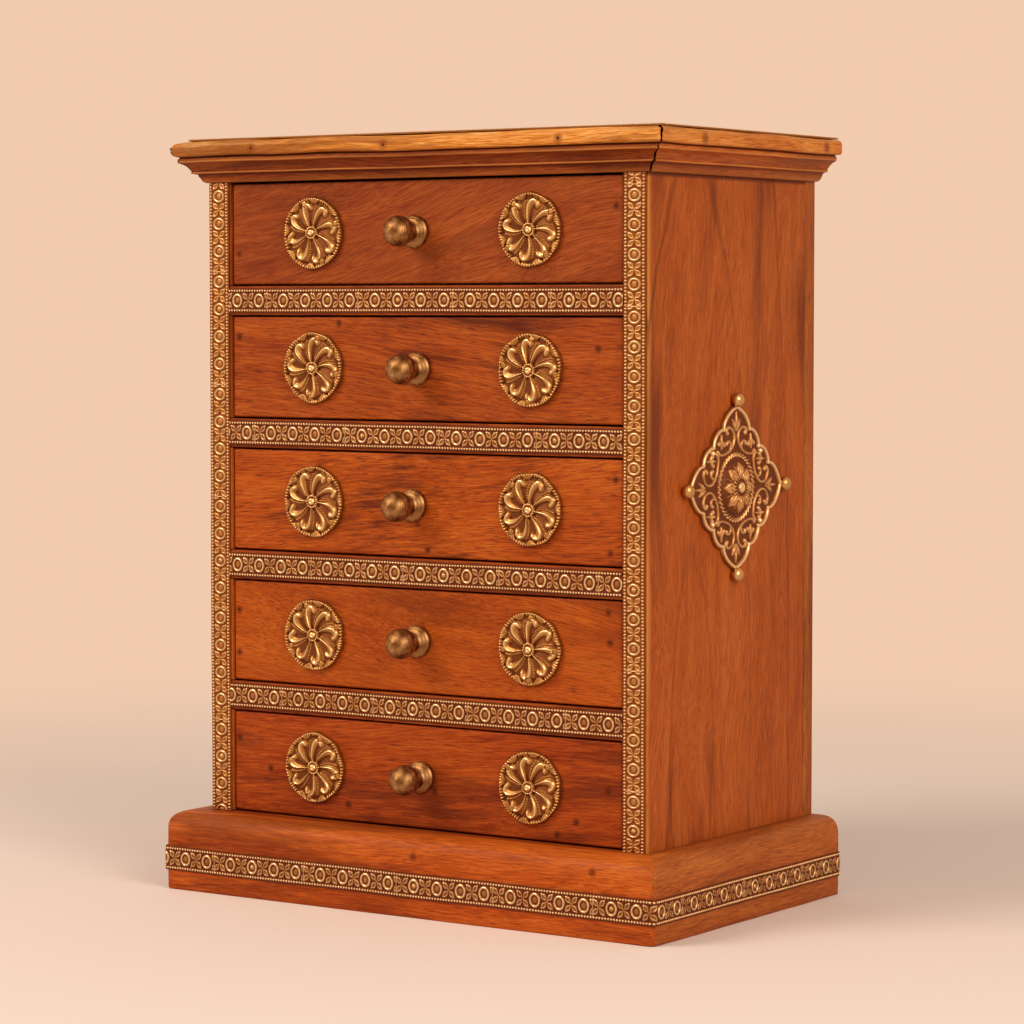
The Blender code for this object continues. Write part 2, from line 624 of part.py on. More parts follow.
def main():
    """Build the whole chest under one carrier."""
    clear_scene()
    carcass_wood = finish("teak_carcass", (0.30, 0.085, 0.022), 0.42, 0.0)
    moulding_wood = finish("teak_cornice", (0.42, 0.135, 0.030), 0.40, 0.0)
    plinth_wood = finish("teak_plinth", (0.27, 0.072, 0.018), 0.42, 0.0)
    strip_brass = finish("stamped_brass_strip", (0.58, 0.36, 0.13), 0.38, 1.0)
    plaque_brass = finish("pressed_brass_plaque", (0.55, 0.33, 0.12), 0.40, 1.0)
    drawer_materials = {
        "front": finish("teak_drawer_front", (0.34, 0.095, 0.020), 0.40, 0.0),
        "lining": finish("pale_drawer_lining", (0.40, 0.20, 0.085), 0.60, 0.0),
        "knob": finish("turned_brass_knob", (0.30, 0.19, 0.095), 0.36, 1.0),
        "rosette": finish("pressed_brass_rosette", (0.50, 0.31, 0.12), 0.40, 1.0),
    }
    chest = empty("chest", (0, PLAN_SHIFT, 0))
    bpy.context.view_layer.update()
    carcass_boards(carcass_wood, chest)
    mouldings(plinth_wood, moulding_wood, chest)
    face_strips(strip_brass, chest)
    wrapped_strips(strip_brass, chest)
    for side in ("left", "right"):
        plaque(side, plaque_brass, chest)
    for number in range(1, DRAWER_COUNT + 1):
        drawer(number, drawer_materials, chest)
    bpy.context.view_layer.update()


main()
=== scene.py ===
# %% [markdown]
# # A table-top chest of drawers in teak and stamped brass
# The chest is joined from teak boards and trimmed with thin pressed brass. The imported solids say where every
# piece sits and how each drawer slides; this lesson dresses them. Boards get eased edges and a grain, and every
# brass trim is rebuilt as a relief, so that its pattern is real shape and not paint.

import math
import random

import bmesh
import bpy
import numpy as np
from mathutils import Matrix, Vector, kdtree, noise


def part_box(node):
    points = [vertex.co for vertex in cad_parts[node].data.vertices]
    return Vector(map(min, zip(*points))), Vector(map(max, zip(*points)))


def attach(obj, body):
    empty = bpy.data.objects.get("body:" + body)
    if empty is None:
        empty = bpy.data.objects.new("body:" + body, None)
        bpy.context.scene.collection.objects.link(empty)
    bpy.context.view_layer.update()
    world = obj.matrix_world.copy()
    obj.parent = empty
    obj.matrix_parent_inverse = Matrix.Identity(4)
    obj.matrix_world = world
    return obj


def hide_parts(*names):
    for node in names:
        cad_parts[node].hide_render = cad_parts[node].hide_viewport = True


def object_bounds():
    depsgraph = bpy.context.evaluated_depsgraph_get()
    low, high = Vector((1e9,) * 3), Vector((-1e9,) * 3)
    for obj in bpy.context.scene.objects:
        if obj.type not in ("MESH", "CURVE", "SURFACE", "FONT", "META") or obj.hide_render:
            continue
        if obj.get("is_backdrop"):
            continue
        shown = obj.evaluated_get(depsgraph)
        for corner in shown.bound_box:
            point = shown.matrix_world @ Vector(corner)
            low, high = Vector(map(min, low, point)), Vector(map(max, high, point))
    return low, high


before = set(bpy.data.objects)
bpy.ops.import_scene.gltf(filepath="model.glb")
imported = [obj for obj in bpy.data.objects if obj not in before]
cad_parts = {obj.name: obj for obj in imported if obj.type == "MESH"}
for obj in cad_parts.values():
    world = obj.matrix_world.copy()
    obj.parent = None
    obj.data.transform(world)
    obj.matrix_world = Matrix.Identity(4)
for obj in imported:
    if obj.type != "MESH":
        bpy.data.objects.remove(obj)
cad_low, cad_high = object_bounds()
MM = 0.001
NOISE_SEED = 7
noise.seed_set(NOISE_SEED)  # unseeded, the noise that bends shapes starts from the clock and differs each run

# %% [markdown]
# ## The camera
# The picture was taken with a long lens from the chest's right, a little below its top. The place, the
# direction and the focal length were solved from the corners of the carcass, the plinth and the cornice, so
# the lens here is that focal length in pixels carried over to a 36 mm sensor.

# %% Camera
IMAGE_PIXELS = 1024
FOCAL_PIXELS = 3448.3
SENSOR_MM = 36.0
CAMERA_PLACE = Vector((0.98496, -1.43631, 0.29614))
CAMERA_DIRECTION = Vector((-0.56136, 0.82548, -0.05877))


def looking(direction):
    """Turn of a camera or lamp that faces along a direction."""
    return direction.to_track_quat("-Z", "Y").to_euler()


camera_data = bpy.data.cameras.new("camera")
camera_data.sensor_width = SENSOR_MM
camera_data.lens = FOCAL_PIXELS * SENSOR_MM / IMAGE_PIXELS
camera = bpy.data.objects.new("camera", camera_data)
camera.location = CAMERA_PLACE
camera.rotation_euler = looking(CAMERA_DIRECTION)
bpy.context.scene.collection.objects.link(camera)
bpy.context.scene.camera = camera
bpy.context.scene.view_settings.view_transform = "Standard"
print("camera: lens", round(camera_data.lens, 1), "mm")

# %% [markdown]
# ## Nodes and colours
# Every finish below is a tree of shader nodes. One function adds a node with its settings, its values and its
# links and gives back the output that the next node takes, so that a tree reads as a list. Colours are written
# as sRGB hex values, as a paint chart gives them, and one function turns them into the linear values that the
# renderer adds up.


# %% Node and colour helpers
def colour(hex_code):
    """Linear red, green, blue and alpha of an sRGB hex colour."""
    channels = [int(hex_code[i:i + 2], 16) / 255 for i in (1, 3, 5)]
    linear = [c / 12.92 if c <= 0.04045 else ((c + 0.055) / 1.055) ** 2.4 for c in channels]
    return (*linear, 1.0)


def fill(tree, made, values):
    """Fill a node's inputs, each with a number, a colour or the output that it is linked to."""
    for key, value in values.items():
        if isinstance(value, bpy.types.NodeSocket):
            tree.links.new(value, made.inputs[key])
        else:
            made.inputs[key].default_value = value


def add(tree, kind, values=None, stops=(), out=0, **settings):
    """Add a node with its settings, inputs and ramp stops, and give back its first output or the one named."""
    made = tree.nodes.new("ShaderNode" + kind)
    for key, setting in settings.items():
        setattr(made, key, setting)
    fill(tree, made, values or {})
    for number, (place, tone) in enumerate(stops):
        elements = made.color_ramp.elements
        element = elements[number] if number < 2 else elements.new(place)
        element.position = place
        element.color = colour(tone)
    return made.outputs[out]


def new_material(name):
    """A material, its node tree and its Principled shader."""
    made = bpy.data.materials.new(name)
    made.use_nodes = True
    return made, made.node_tree, made.node_tree.nodes["Principled BSDF"]


print("helpers: looking, colour, fill, add, new_material")

# %% [markdown]
# ## The floor
# A plain pale floor of matt paper fades into a backdrop of the same tone, so no horizon cuts across the
# picture. The fade is a mix with a transparent shader by distance from the chest.

# %% Floor
FLOOR_RADIUS = 3.0
FLOOR_SEGMENTS = 96
FADE_START = 0.30
FADE_END = 1.15
PAPER = "#f7dfce"


def finished_mesh(name, shape):
    """The mesh of a bmesh, which is let go."""
    mesh = bpy.data.meshes.new(name)
    shape.to_mesh(mesh)
    shape.free()
    return mesh


disc = bmesh.new()
bmesh.ops.create_circle(disc, cap_ends=True, segments=FLOOR_SEGMENTS, radius=FLOOR_RADIUS)
floor_mesh = finished_mesh("paper_floor", disc)
floor = bpy.data.objects.new("paper_floor", floor_mesh)
bpy.context.scene.collection.objects.link(floor)
floor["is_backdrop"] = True

# uncoated paper is dull: it gives a soft shadow and hardly any gloss
paper, tree, shader = new_material("matt_paper_floor")
fill(tree, shader, {"Base Color": colour(PAPER), "Roughness": 0.9, "Specular IOR Level": 0.1})
distance = add(tree, "VectorMath", {0: add(tree, "TexCoord", out="Object")}, out="Value", operation="LENGTH")
fade = add(tree, "MapRange", {"Value": distance, "From Min": FADE_START, "From Max": FADE_END},
           interpolation_type="SMOOTHSTEP")
mixed = add(tree, "MixShader", {0: fade, 1: shader.outputs["BSDF"], 2: add(tree, "BsdfTransparent")})
fill(tree, tree.nodes["Material Output"], {"Surface": mixed})
floor_mesh.materials.append(paper)
print("floor:", FLOOR_RADIUS, "m, fading from", FADE_START, "to", FADE_END, "m")

# %% [markdown]
# ## The light
# Two large soft lamps and the room's even light together show a colour about as it is written. The backdrop is
# the world's colour for what the camera sees and what the brass mirrors, while the light that falls on the
# chest comes from a plain white room.

# %% Room and lamps
BACKDROP = "#f2cbae"
LAMP_WHITE = "#fff8f0"
ROOM_LEVEL = 0.45
LAMP_SIZE = 1.2
LAMPS = {"key_softbox": ((-0.95, -1.45, 1.45), 24.0), "fill_softbox": ((1.75, -0.75, 1.05), 21.0)}
LIGHT_AIM = Vector((0.0, 0.0, 0.19))

world = bpy.data.worlds.new("soft_room")
world.use_nodes = True
tree = world.node_tree
seen = add(tree, "LightPath", out="Is Camera Ray")
for other in ("Is Glossy Ray", "Is Transmission Ray"):
    seen = add(tree, "Math", {0: seen, 1: add(tree, "LightPath", out=other)}, operation="MAXIMUM")
room = add(tree, "Background", {"Color": colour(LAMP_WHITE), "Strength": ROOM_LEVEL})
backdrop = add(tree, "Background", {"Color": colour(BACKDROP), "Strength": 1.0})
fill(tree, tree.nodes["World Output"], {"Surface": add(tree, "MixShader", {0: seen, 1: room, 2: backdrop})})
bpy.context.scene.world = world

for name, (place, watts) in LAMPS.items():
    data = bpy.data.lights.new(name, "AREA")
    data.shape = "DISK"
    data.size = LAMP_SIZE
    data.energy = watts
    data.color = colour(LAMP_WHITE)[:3]
    softbox = bpy.data.objects.new(name, data)
    softbox.location = place
    softbox.rotation_euler = looking(LIGHT_AIM - softbox.location)
    bpy.context.scene.collection.objects.link(softbox)
print("light: backdrop, room and", len(LAMPS), "lamps")

# %% [markdown]
# ## Where the iron nails are
# Iron nails hold the drawer fronts to their sides and the cornice to the top, and a few the plinth, where they
# were punched in deep. The iron has stained the teak round them. A stain belongs to the finish of the wood and
# a head is a small piece of its own, so the places are worked out first and both use them.

# %% Places of the iron nails
carcass_low, carcass_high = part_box("side_panel_right")
HALF_WIDTH = carcass_high.x
FRONT_Y = carcass_low.y
BACK_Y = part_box("back_panel")[1].y
CORNICE_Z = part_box("cornice_front")[0].z
DRAWERS = range(1, 6)
DIVIDERS = range(1, 5)
FRONT_NAILS = {  # mm from the middle of the front, share of its height
    1: [(-113, 0.30), (113, 0.72)],
    2: [(-50, 0.95), (-113, 0.81), (103, 0.71)],
    3: [(4, 0.06), (110, 0.11), (113, 0.82)],
    4: [(-114, 0.71), (-114, 0.27), (109, 0.90), (110, 0.61)],
    5: [(-94, 0.45), (8, 0.37), (-45, 0.15), (91, 0.20), (80, 0.06), (109, 0.53), (-114, 0.74)],
}
FASCIA_NAILS = {"front": (-94, -12, 90), "side": (-43, 74)}  # mm along the length
FASCIA_NAIL_DROP = 4.4 * MM
PLINTH_NAILS = ((112.9, 32.3), (9.2, 30.1))  # mm from the middle, mm up

nails_in_fronts = {}
for number in DRAWERS:
    low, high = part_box(f"drawer_{number}_front")
    nails_in_fronts[number] = [Vector((x * MM, low.y, low.z + share * (high.z - low.z)))
                               for x, share in FRONT_NAILS[number]]
low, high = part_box("cornice_front")
nail_z = high.z - FASCIA_NAIL_DROP
nails_in_fascia = {"front": [Vector((x * MM, low.y, nail_z)) for x in FASCIA_NAILS["front"]]}
for side, x in (("left", low.x), ("right", high.x)):
    nails_in_fascia[side] = [Vector((x, y * MM, nail_z)) for y in FASCIA_NAILS["side"]]
plinth_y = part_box("plinth_front")[0].y
nails_in_plinth = [Vector((x * MM, plinth_y, z * MM)) for x, z in PLINTH_NAILS]
print("iron nails:", sum(map(len, nails_in_fronts.values())), "in the fronts,",
      sum(map(len, nails_in_fascia.values())), "in the cornice,", len(nails_in_plinth), "in the plinth")

# %% [markdown]
# ## Teak: the run of the grain
# The boards are teak. Its growth layers show as broad soft bands, its fibres as fine lines and its pores as
# short dark dashes, all drawn out along the length of the board. A wood texture could be painted, but noise
# stretched along the grain does the same in three dimensions, so the end grain and the edges agree with the
# face. Real pores are about 0.2 mm wide and the fibres finer still, too fine for the picture, so both are drawn
# coarser here.

# %% Patterns of the grain
LAYER_MM = 8.0
FIBRE_MM = 0.6
PORE_MM = 0.42
BLOTCH_MM = 45.0
WANDER_MM = 8.0
WANDER_LENGTH_MM = 58.5
WANDER_STRETCH = 0.4


def random_start(seed):
    """A place of its own in the endless noise for each board or sheet."""
    draw = random.Random(seed)
    return [draw.uniform(1.0, 4.0) for _ in range(3)]


def drawn_out(along, share):
    """Scale of coordinates that draws a pattern out along the grain: 0.1 makes it ten times as long."""
    return [share if axis == along else 1.0 for axis in "XYZ"]


def grain_patterns(tree, along, seed, tilt, swirl, streak_mm):
    """The object's coordinates and the noises of a board, whose grain wanders slowly to either side."""
    coords = add(tree, "TexCoord", out="Object")
    placed = add(tree, "Mapping", {"Vector": coords, "Location": random_start(seed),
                                   "Rotation": [math.radians(t) for t in tilt]})
    squeezed = add(tree, "Mapping", {"Vector": placed, "Scale": drawn_out(along, WANDER_STRETCH)})
    slow = add(tree, "TexNoise", {"Vector": squeezed, "Scale": 1 / (WANDER_LENGTH_MM * MM), "Detail": 1.0})
    centred = add(tree, "VectorMath", {0: slow.node.outputs["Color"], 1: (0.5, 0.5, 0.5)}, operation="SUBTRACT")
    wander = add(tree, "VectorMath", {0: centred, "Scale": 2 * swirl * WANDER_MM * MM}, operation="SCALE")
    grain = add(tree, "VectorMath", {0: placed, 1: wander}, operation="ADD")
    patterns = {"coords": coords, "slow": slow}
    for part, base, share, size_mm, detail, rough in (
            ("layers", grain, 0.10, LAYER_MM, 3.0, 0.55), ("fibres", grain, 0.035, FIBRE_MM, 3.0, 0.60),
            ("blotch", placed, 0.50, BLOTCH_MM, 2.0, 0.50), ("bands", grain, 0.08, streak_mm, 4.0, 0.62),
            ("pores", grain, 0.055, PORE_MM, 1.0, 0.50)):
        squeezed = add(tree, "Mapping", {"Vector": base, "Scale": drawn_out(along, share)})
        patterns[part] = add(tree, "TexNoise", {"Vector": squeezed, "Scale": 1 / (size_mm * MM),
                                                "Detail": detail, "Roughness": rough})
    return patterns


print("grain: layers", LAYER_MM, "fibres", FIBRE_MM, "pores", PORE_MM, "mm")

# %% [markdown]
# ## Teak: stains round the nails
# Iron and the tannin of teak make a black-brown stain, deepest at the nail. The stain is drawn by the distance
# to the nearest nail, so any number of nails needs one mask only.

# %% Stains of the nails
STAIN_HEART = 0.35
STAIN_DEPTH = 0.75
FAR_AWAY = 1.0


def nail_stains(tree, coords, nails, stain_mm):
    """Mask of the stains, which fade from the heart of each to stain_mm from its nail."""
    reach = FAR_AWAY
    for nail in nails:
        gap = add(tree, "VectorMath", {0: coords, 1: nail}, out="Value", operation="DISTANCE")
        reach = add(tree, "Math", {0: gap, 1: reach}, operation="MINIMUM")
    return add(tree, "MapRange", {"Value": reach, "From Min": STAIN_HEART * stain_mm * MM,
                                  "From Max": stain_mm * MM, "To Min": STAIN_DEPTH, "To Max": 0.0})


print("stains: deepest within", STAIN_HEART, "of their reach")

# %% [markdown]
# ## Teak: the wear and painted shade of the sides
# Hands have rubbed the front edges of the two sides pale, in a ragged line, and a band of painted shade
# darkens the sides just under the cornice. The sides were sawn at a slant through the rings of the trunk, so a
# few growth lines show as long arches. Rings about an axis that is nearly upright, well in front of the panel,
# give such arches without drawing a single curve.

# %% Wear, painted shade and growth lines of the sides
ARRIS_WIDTH = 2.3 * MM
ARRIS_FADE = (2.4, 3.9)  # arris widths behind the front: where the pale edge starts to fade and where it ends
ARRIS_RAG = (("layers", 2.6), ("blotch", 3.0))  # arris widths by which each pattern moves the line
ARRIS_DEPTH = 0.75
EDGE_SKIN = (1.5 * MM, 0.3 * MM)
# a band of painted shade on the sides, just under the cornice
CORNICE_SHADE_DROP = 2.4 * MM
CORNICE_SHADE_DEPTH = 0.9
GROWTH_MM = 37.3
GROWTH_LINE = 0.990  # height of the wave from which a line shows
TRUNK_TILT = math.radians(11.5)
TRUNK_PLACE = (-0.1457, -1.04 - FRONT_Y, 0.0)
WAVE_UNIT = math.pi / 10  # the wave texture's scale for rings one unit apart


def side_wear_and_shade(tree, patterns):
    """Masks of the rubbed front edge, of the painted shade under the cornice and of the growth lines."""
    coords = patterns["coords"]
    x, y, z = add(tree, "SeparateXYZ", {"Vector": coords}).node.outputs
    ragged = y
    for part, share in ARRIS_RAG:
        ragged = add(tree, "Math", {0: patterns[part], 1: share * ARRIS_WIDTH, 2: ragged}, operation="MULTIPLY_ADD")
    near = add(tree, "MapRange", {"Value": ragged, "From Min": FRONT_Y + ARRIS_FADE[0] * ARRIS_WIDTH,
                                  "From Max": FRONT_Y + ARRIS_FADE[1] * ARRIS_WIDTH,
                                  "To Min": ARRIS_DEPTH, "To Max": 0.0})
    outside = add(tree, "MapRange", {"Value": add(tree, "Math", {0: x}, operation="ABSOLUTE"),
                                     "From Min": HALF_WIDTH - EDGE_SKIN[0], "From Max": HALF_WIDTH - EDGE_SKIN[1]})
    arris = add(tree, "Math", {0: near, 1: outside}, operation="MULTIPLY")
    # painted shade: the sides darken just under the cornice
    cornice_shade = add(tree, "MapRange", {"Value": z, "From Min": CORNICE_Z - CORNICE_SHADE_DROP,
                                  "From Max": CORNICE_Z - 0.4 * CORNICE_SHADE_DROP, "To Max": CORNICE_SHADE_DEPTH})

    # the same trunk for both sides: the coordinates are mirrored, after a step that keeps the depth positive
    ahead = add(tree, "VectorMath", {0: coords, 1: (0, 1, 0)}, operation="ADD")
    mirrored = add(tree, "VectorMath", {0: ahead}, operation="ABSOLUTE")
    trunk = add(tree, "Mapping", {"Vector": mirrored, "Location": TRUNK_PLACE, "Rotation": (0, TRUNK_TILT, 0)})
    growth = add(tree, "TexWave", {"Vector": trunk, "Scale": WAVE_UNIT / (GROWTH_MM * MM), "Distortion": 0.6,
                                   "Detail": 2.0, "Detail Scale": 3.0},
                 out="Fac", wave_type="RINGS", rings_direction="Z")
    lines = add(tree, "MapRange", {"Value": growth, "From Min": GROWTH_LINE, "From Max": 1.0})
    shown = add(tree, "MapRange", {"Value": patterns["slow"], "From Min": 0.38, "From Max": 0.60,
                                   "To Min": 0.2, "To Max": 0.65})
    return arris, cornice_shade, add(tree, "Math", {0: lines, 1: shown}, operation="MULTIPLY")


print("sides: growth lines", GROWTH_MM, "mm apart in the trunk")

# %% [markdown]
# ## Teak: the finish
# The boards were planed and waxed: the wax deepens the red-brown, fills the pores and leaves a low satin sheen.
# Layers, fibres and blotches add up to one tone, which a ramp turns into colour. Streaks, pores, stains, wear
# and painted light and shade are laid over it one after the other. The mouldings' meshes carry a shift of tone in
# an attribute: pale for worn edges and for a painted highlight on fillets and round tops, dark for painted shade
# in the quirks, the mitres and on the undersides, and for a little grime on sawn ends.

# %% Teak finish
# pale worn edges, and the painted highlight on the mouldings' fillets and round tops
PALE_WEAR_AND_HIGHLIGHT = "#d68a40"
# near black painted shade inside the mitres and in the quirk under the fascia
DEEP_SHADE = "#2c1006"
TONE_SHARES = (("layers", 0.24), ("fibres", 0.58), ("blotch", 0.18))
WAX_SPECULAR = 0.13
FIBRE_DEPTH = 0.15 * MM


def teak(name, along, seed, tones, streak=0.5, streak_mm=7.0, tilt=(0, 0, 0), swirl=1.0, pore=0.6,
         roughness=(0.42, 0.58), nails=(), stain_mm=2.7, worn_shaded_side=False):
    """Waxed teak: tones are hex colours for its dark layers, its middle, its light layers and its dark streaks, which
    also tint the painted shade.
    """
    dark, middle, light, stain_and_shade = tones
    made, tree, shader = new_material(name)
    patterns = grain_patterns(tree, along, seed, tilt, swirl, streak_mm)
    tone = 0.0
    for part, share in TONE_SHARES:
        tone = add(tree, "Math", {0: patterns[part], 1: share, 2: tone}, operation="MULTIPLY_ADD")
    finish = add(tree, "ValToRGB", {"Fac": tone}, [(0.39, dark), (0.50, middle), (0.62, light)])

    patch = add(tree, "Math", {0: patterns["bands"], 1: patterns["slow"]}, operation="MULTIPLY")
    streaks = add(tree, "MapRange", {"Value": patch, "From Min": 0.25, "From Max": 0.36, "To Max": streak})
    pores = add(tree, "MapRange", {"Value": patterns["pores"], "From Min": 0.56, "From Max": 0.70, "To Max": pore})
    # the mouldings' shift of tone: pale is wear and painted highlight, dark is painted shade with a little grime,
    # deepest in the mitres
    tone_shift = add(tree, "Attribute", out="Fac", attribute_name="tone_shift")
    worn_and_lit = add(tree, "Math", {0: tone_shift, 1: patterns["layers"]}, operation="MULTIPLY", use_clamp=True)
    grime_and_shade = add(tree, "Math", {0: tone_shift, 1: -0.9}, operation="MULTIPLY", use_clamp=True)
    deep_shade = add(tree, "MapRange", {"Value": tone_shift, "From Min": -0.95, "From Max": -1.2})
    masks = [(streaks, stain_and_shade), (pores, stain_and_shade), (worn_and_lit, PALE_WEAR_AND_HIGHLIGHT), (grime_and_shade, stain_and_shade), (deep_shade, DEEP_SHADE)]
    if nails:
        masks.append((nail_stains(tree, patterns["coords"], nails, stain_mm), stain_and_shade))
    if worn_shaded_side:
        masks += zip(side_wear_and_shade(tree, patterns), (PALE_WEAR_AND_HIGHLIGHT, stain_and_shade, stain_and_shade))
    for mask, tint in masks:
        finish = add(tree, "Mix", {"Factor": mask, 6: finish, 7: colour(tint)}, out=2, data_type="RGBA")

    gloss = add(tree, "MapRange", {"Value": patterns["fibres"], "From Min": 0.3, "From Max": 0.7,
                                   "To Min": roughness[0], "To Max": roughness[1]})
    relief = add(tree, "Math", {0: patterns["fibres"], 1: pores}, operation="SUBTRACT")
    bump = add(tree, "Bump", {"Height": relief, "Strength": 0.4, "Distance": FIBRE_DEPTH})
    fill(tree, shader, {"Base Color": finish, "Roughness": gloss, "Normal": bump,
                        "Specular IOR Level": WAX_SPECULAR})
    return made


print("finish: teak from", len(TONE_SHARES), "patterns of tone")

# %% [markdown]
# ## A teak for each board
# No two boards come from the same place in a log, so each has its own seed, tones and tilt of the grain. The
# fascia is a paler wood, its tones raised further by painted light from above, the bed moulding under it is
# painted darker as shade, and the linings were sawn, never waxed, and stayed straw-coloured and dull.

# %% Teak of the boards
SIDE_TEAK = teak("waxed_teak_side", "Z", 11, ("#943e0f", "#ac4f14", "#bc6226", "#5c2205"), streak=0.7,
                 streak_mm=15.0, tilt=(3, 0, 0), swirl=2.2, pore=0.5, worn_shaded_side=True)
BOARD_TEAK = teak("waxed_teak_board", "X", 12, ("#82300a", "#9e440f", "#b3571a", "#5a1f05"))
BACK_TEAK = teak("waxed_teak_back", "Z", 13, ("#8c4212", "#a5531c", "#b6662c", "#5d2509"))
# the fascia: a paler wood, with painted light from above in its tones
PALE_LIT_FASCIA_TEAK = teak("waxed_teak_fascia", "X", 14, ("#c26a1a", "#ee983e", "#fec47e", "#8a430e"), streak=0.6,
                   streak_mm=3.0, pore=0.4, nails=nails_in_fascia["front"], stain_mm=3.4)
PALE_LIT_FASCIA_SIDE_TEAK = teak("waxed_teak_fascia_side", "Y", 15, ("#a85314", "#cf7428", "#e09044", "#783410"),
                        streak=0.6, streak_mm=4.0, pore=0.4, stain_mm=4.0,
                        nails=nails_in_fascia["left"] + nails_in_fascia["right"])
# the bed moulding: its darker tones are painted shade under the fascia
SHADED_BED_TEAK = teak("waxed_teak_bed", "X", 26, ("#772a06", "#96400e", "#b0561e", "#4a1502"), streak=0.6)
SHADED_BED_SIDE_TEAK = teak("waxed_teak_bed_side", "Y", 27, ("#9c420e", "#be5b1c", "#d47634", "#662808"))
PLINTH_TEAK = teak("waxed_teak_plinth", "X", 16, ("#9d3e09", "#c05411", "#d26c24", "#661f03"), streak=0.6,
                   nails=nails_in_plinth, stain_mm=2.8)
PLINTH_SIDE_TEAK = teak("waxed_teak_plinth_side", "Y", 17, ("#8e4010", "#ab541b", "#be692a", "#62280a"))
LINING_TEAK = teak("plain_sawn_lining", "Y", 18, ("#a5713f", "#b98650", "#c99862", "#8a5a30"), streak=0.3,
                   roughness=(0.6, 0.75))
FRONT_FIGURES = {  # seed, tones; then streak and its width in mm, tilt in degrees, swirl and pores
    1: (21, ("#84310b", "#9c4413", "#b0571f", "#5f2207"), 0.40, 8.0, 14, 1.8, 0.55),
    2: (22, ("#88330a", "#a94910", "#bb5c1b", "#4f1603"), 0.90, 6.0, -3, 1.0, 0.65),
    3: (23, ("#923807", "#b24c0c", "#c6641c", "#5a1c03"), 0.85, 3.0, 4, 0.8, 0.75),
    4: (24, ("#983c07", "#b04d0c", "#c05f19", "#602003"), 0.45, 12.0, -6, 1.6, 0.6),
    5: (25, ("#842a03", "#a6420a", "#b95616", "#521703"), 0.55, 5.0, 3, 0.9, 0.6),
}
FRONT_TEAKS = {number: teak(f"waxed_teak_front_{number}", "X", seed, tones, streak, streak_mm, (0, tilt, 0), swirl,
                            pore, nails=nails_in_fronts[number])
               for number, (seed, tones, streak, streak_mm, tilt, swirl, pore) in FRONT_FIGURES.items()}
print("teak: 10 finishes for the carcass and linings,", len(FRONT_TEAKS), "for the fronts")

# %% [markdown]
# ## Brass
# The trim is thin brass sheet, stamped in dies and toned brown, then rubbed so that the high points shine again
# and the hollows stay dark. Each relief mesh below carries its own height as an attribute called relief, from 0
# in the hollows to 1 on the crests, and the finish reads it. A dark hollow is a film of oxide, so it is rough
# and hardly metallic, and a rubbed crest is bare metal. Specks of tarnish are far smaller on real brass, too
# fine for the picture, so they are drawn coarser here.

# %% Brass finish
TONING_MM = 9.0
TARNISH_MM = 0.9
SPECK_SHARE = 0.3
SPECK_DEPTH = 0.05 * MM


def toned_brass(name, seed, tones, roughness=(0.62, 0.30), tone_shift=0.35):
    """Stamped brass: tones are hex colours for hollows, slopes, crests and the most rubbed points."""
    made, tree, shader = new_material(name)
    placed = add(tree, "Mapping", {"Vector": add(tree, "TexCoord", out="Object"), "Location": random_start(seed)})
    cloud = add(tree, "TexNoise", {"Vector": placed, "Scale": 1 / (TONING_MM * MM), "Detail": 3.0})
    specks = add(tree, "TexNoise", {"Vector": placed, "Scale": 1 / (TARNISH_MM * MM), "Detail": 2.0})
    worn = add(tree, "Attribute", out="Fac", attribute_name="relief")
    for pattern, share in ((cloud, tone_shift), (specks, SPECK_SHARE)):
        worn = add(tree, "Math", {0: pattern, 1: share, 2: worn}, operation="MULTIPLY_ADD")
    level = add(tree, "Math", {0: worn, 1: 0.5 * (tone_shift + SPECK_SHARE)}, operation="SUBTRACT", use_clamp=True)
    tone = add(tree, "ValToRGB", {"Fac": level}, list(zip((0.06, 0.34, 0.68, 0.95), tones)))
    metal = add(tree, "MapRange", {"Value": level, "From Min": 0.05, "From Max": 0.45, "To Min": 0.65, "To Max": 1.0})
    gloss = add(tree, "MapRange", {"Value": level, "To Min": roughness[0], "To Max": roughness[1]})
    bump = add(tree, "Bump", {"Height": specks, "Strength": 0.25, "Distance": SPECK_DEPTH})
    fill(tree, shader, {"Base Color": tone, "Metallic": metal, "Roughness": gloss, "Normal": bump})
    return made


# rolled strip on the stiles and the top, often dusted: golden, with warm hollows
STRIP_BRASS = toned_brass("stamped_brass_strip", 31, ("#82400a", "#aa6c30", "#ba8c56", "#d8b888"))
# pressed deep and rubbed by hands that reach for the knobs: bright rounded petals over dark hollows
ROSETTE_BRASS = toned_brass("pressed_brass_rosette", 32, ("#7a3e14", "#9c6630", "#bd8c50", "#eac890"), (0.54, 0.26))
# the same strip where a cloth seldom goes, on the rails and the plinth: brown, with pale worn pearls
RAIL_BRASS = toned_brass("tarnished_brass_strip", 35, ("#642a08", "#8c5224", "#ae804e", "#e2c496"))
# thin sheet on the sides, toned evenly: a rosy field with pale scrolls
PLAQUE_BRASS = toned_brass("pressed_brass_plaque", 33, ("#703816", "#a0683a", "#cd9c62", "#f0d0a0"))
# smooth domes that stand out and are polished in passing: the brightest points of the chest
NAIL_BRASS = toned_brass("domed_brass_nail", 34, ("#7a4c20", "#a0743c", "#c69a5e", "#ecd2a0"), (0.5, 0.24))
print("brass:", [m.name for m in (STRIP_BRASS, RAIL_BRASS, ROSETTE_BRASS, PLAQUE_BRASS, NAIL_BRASS)])

# %% [markdown]
# ## Pieces
# Every new piece rides on one of the imported bodies, takes its finish and hides the solids that it stands for.
# One function does that for all of them, so no piece is left behind when a drawer opens.


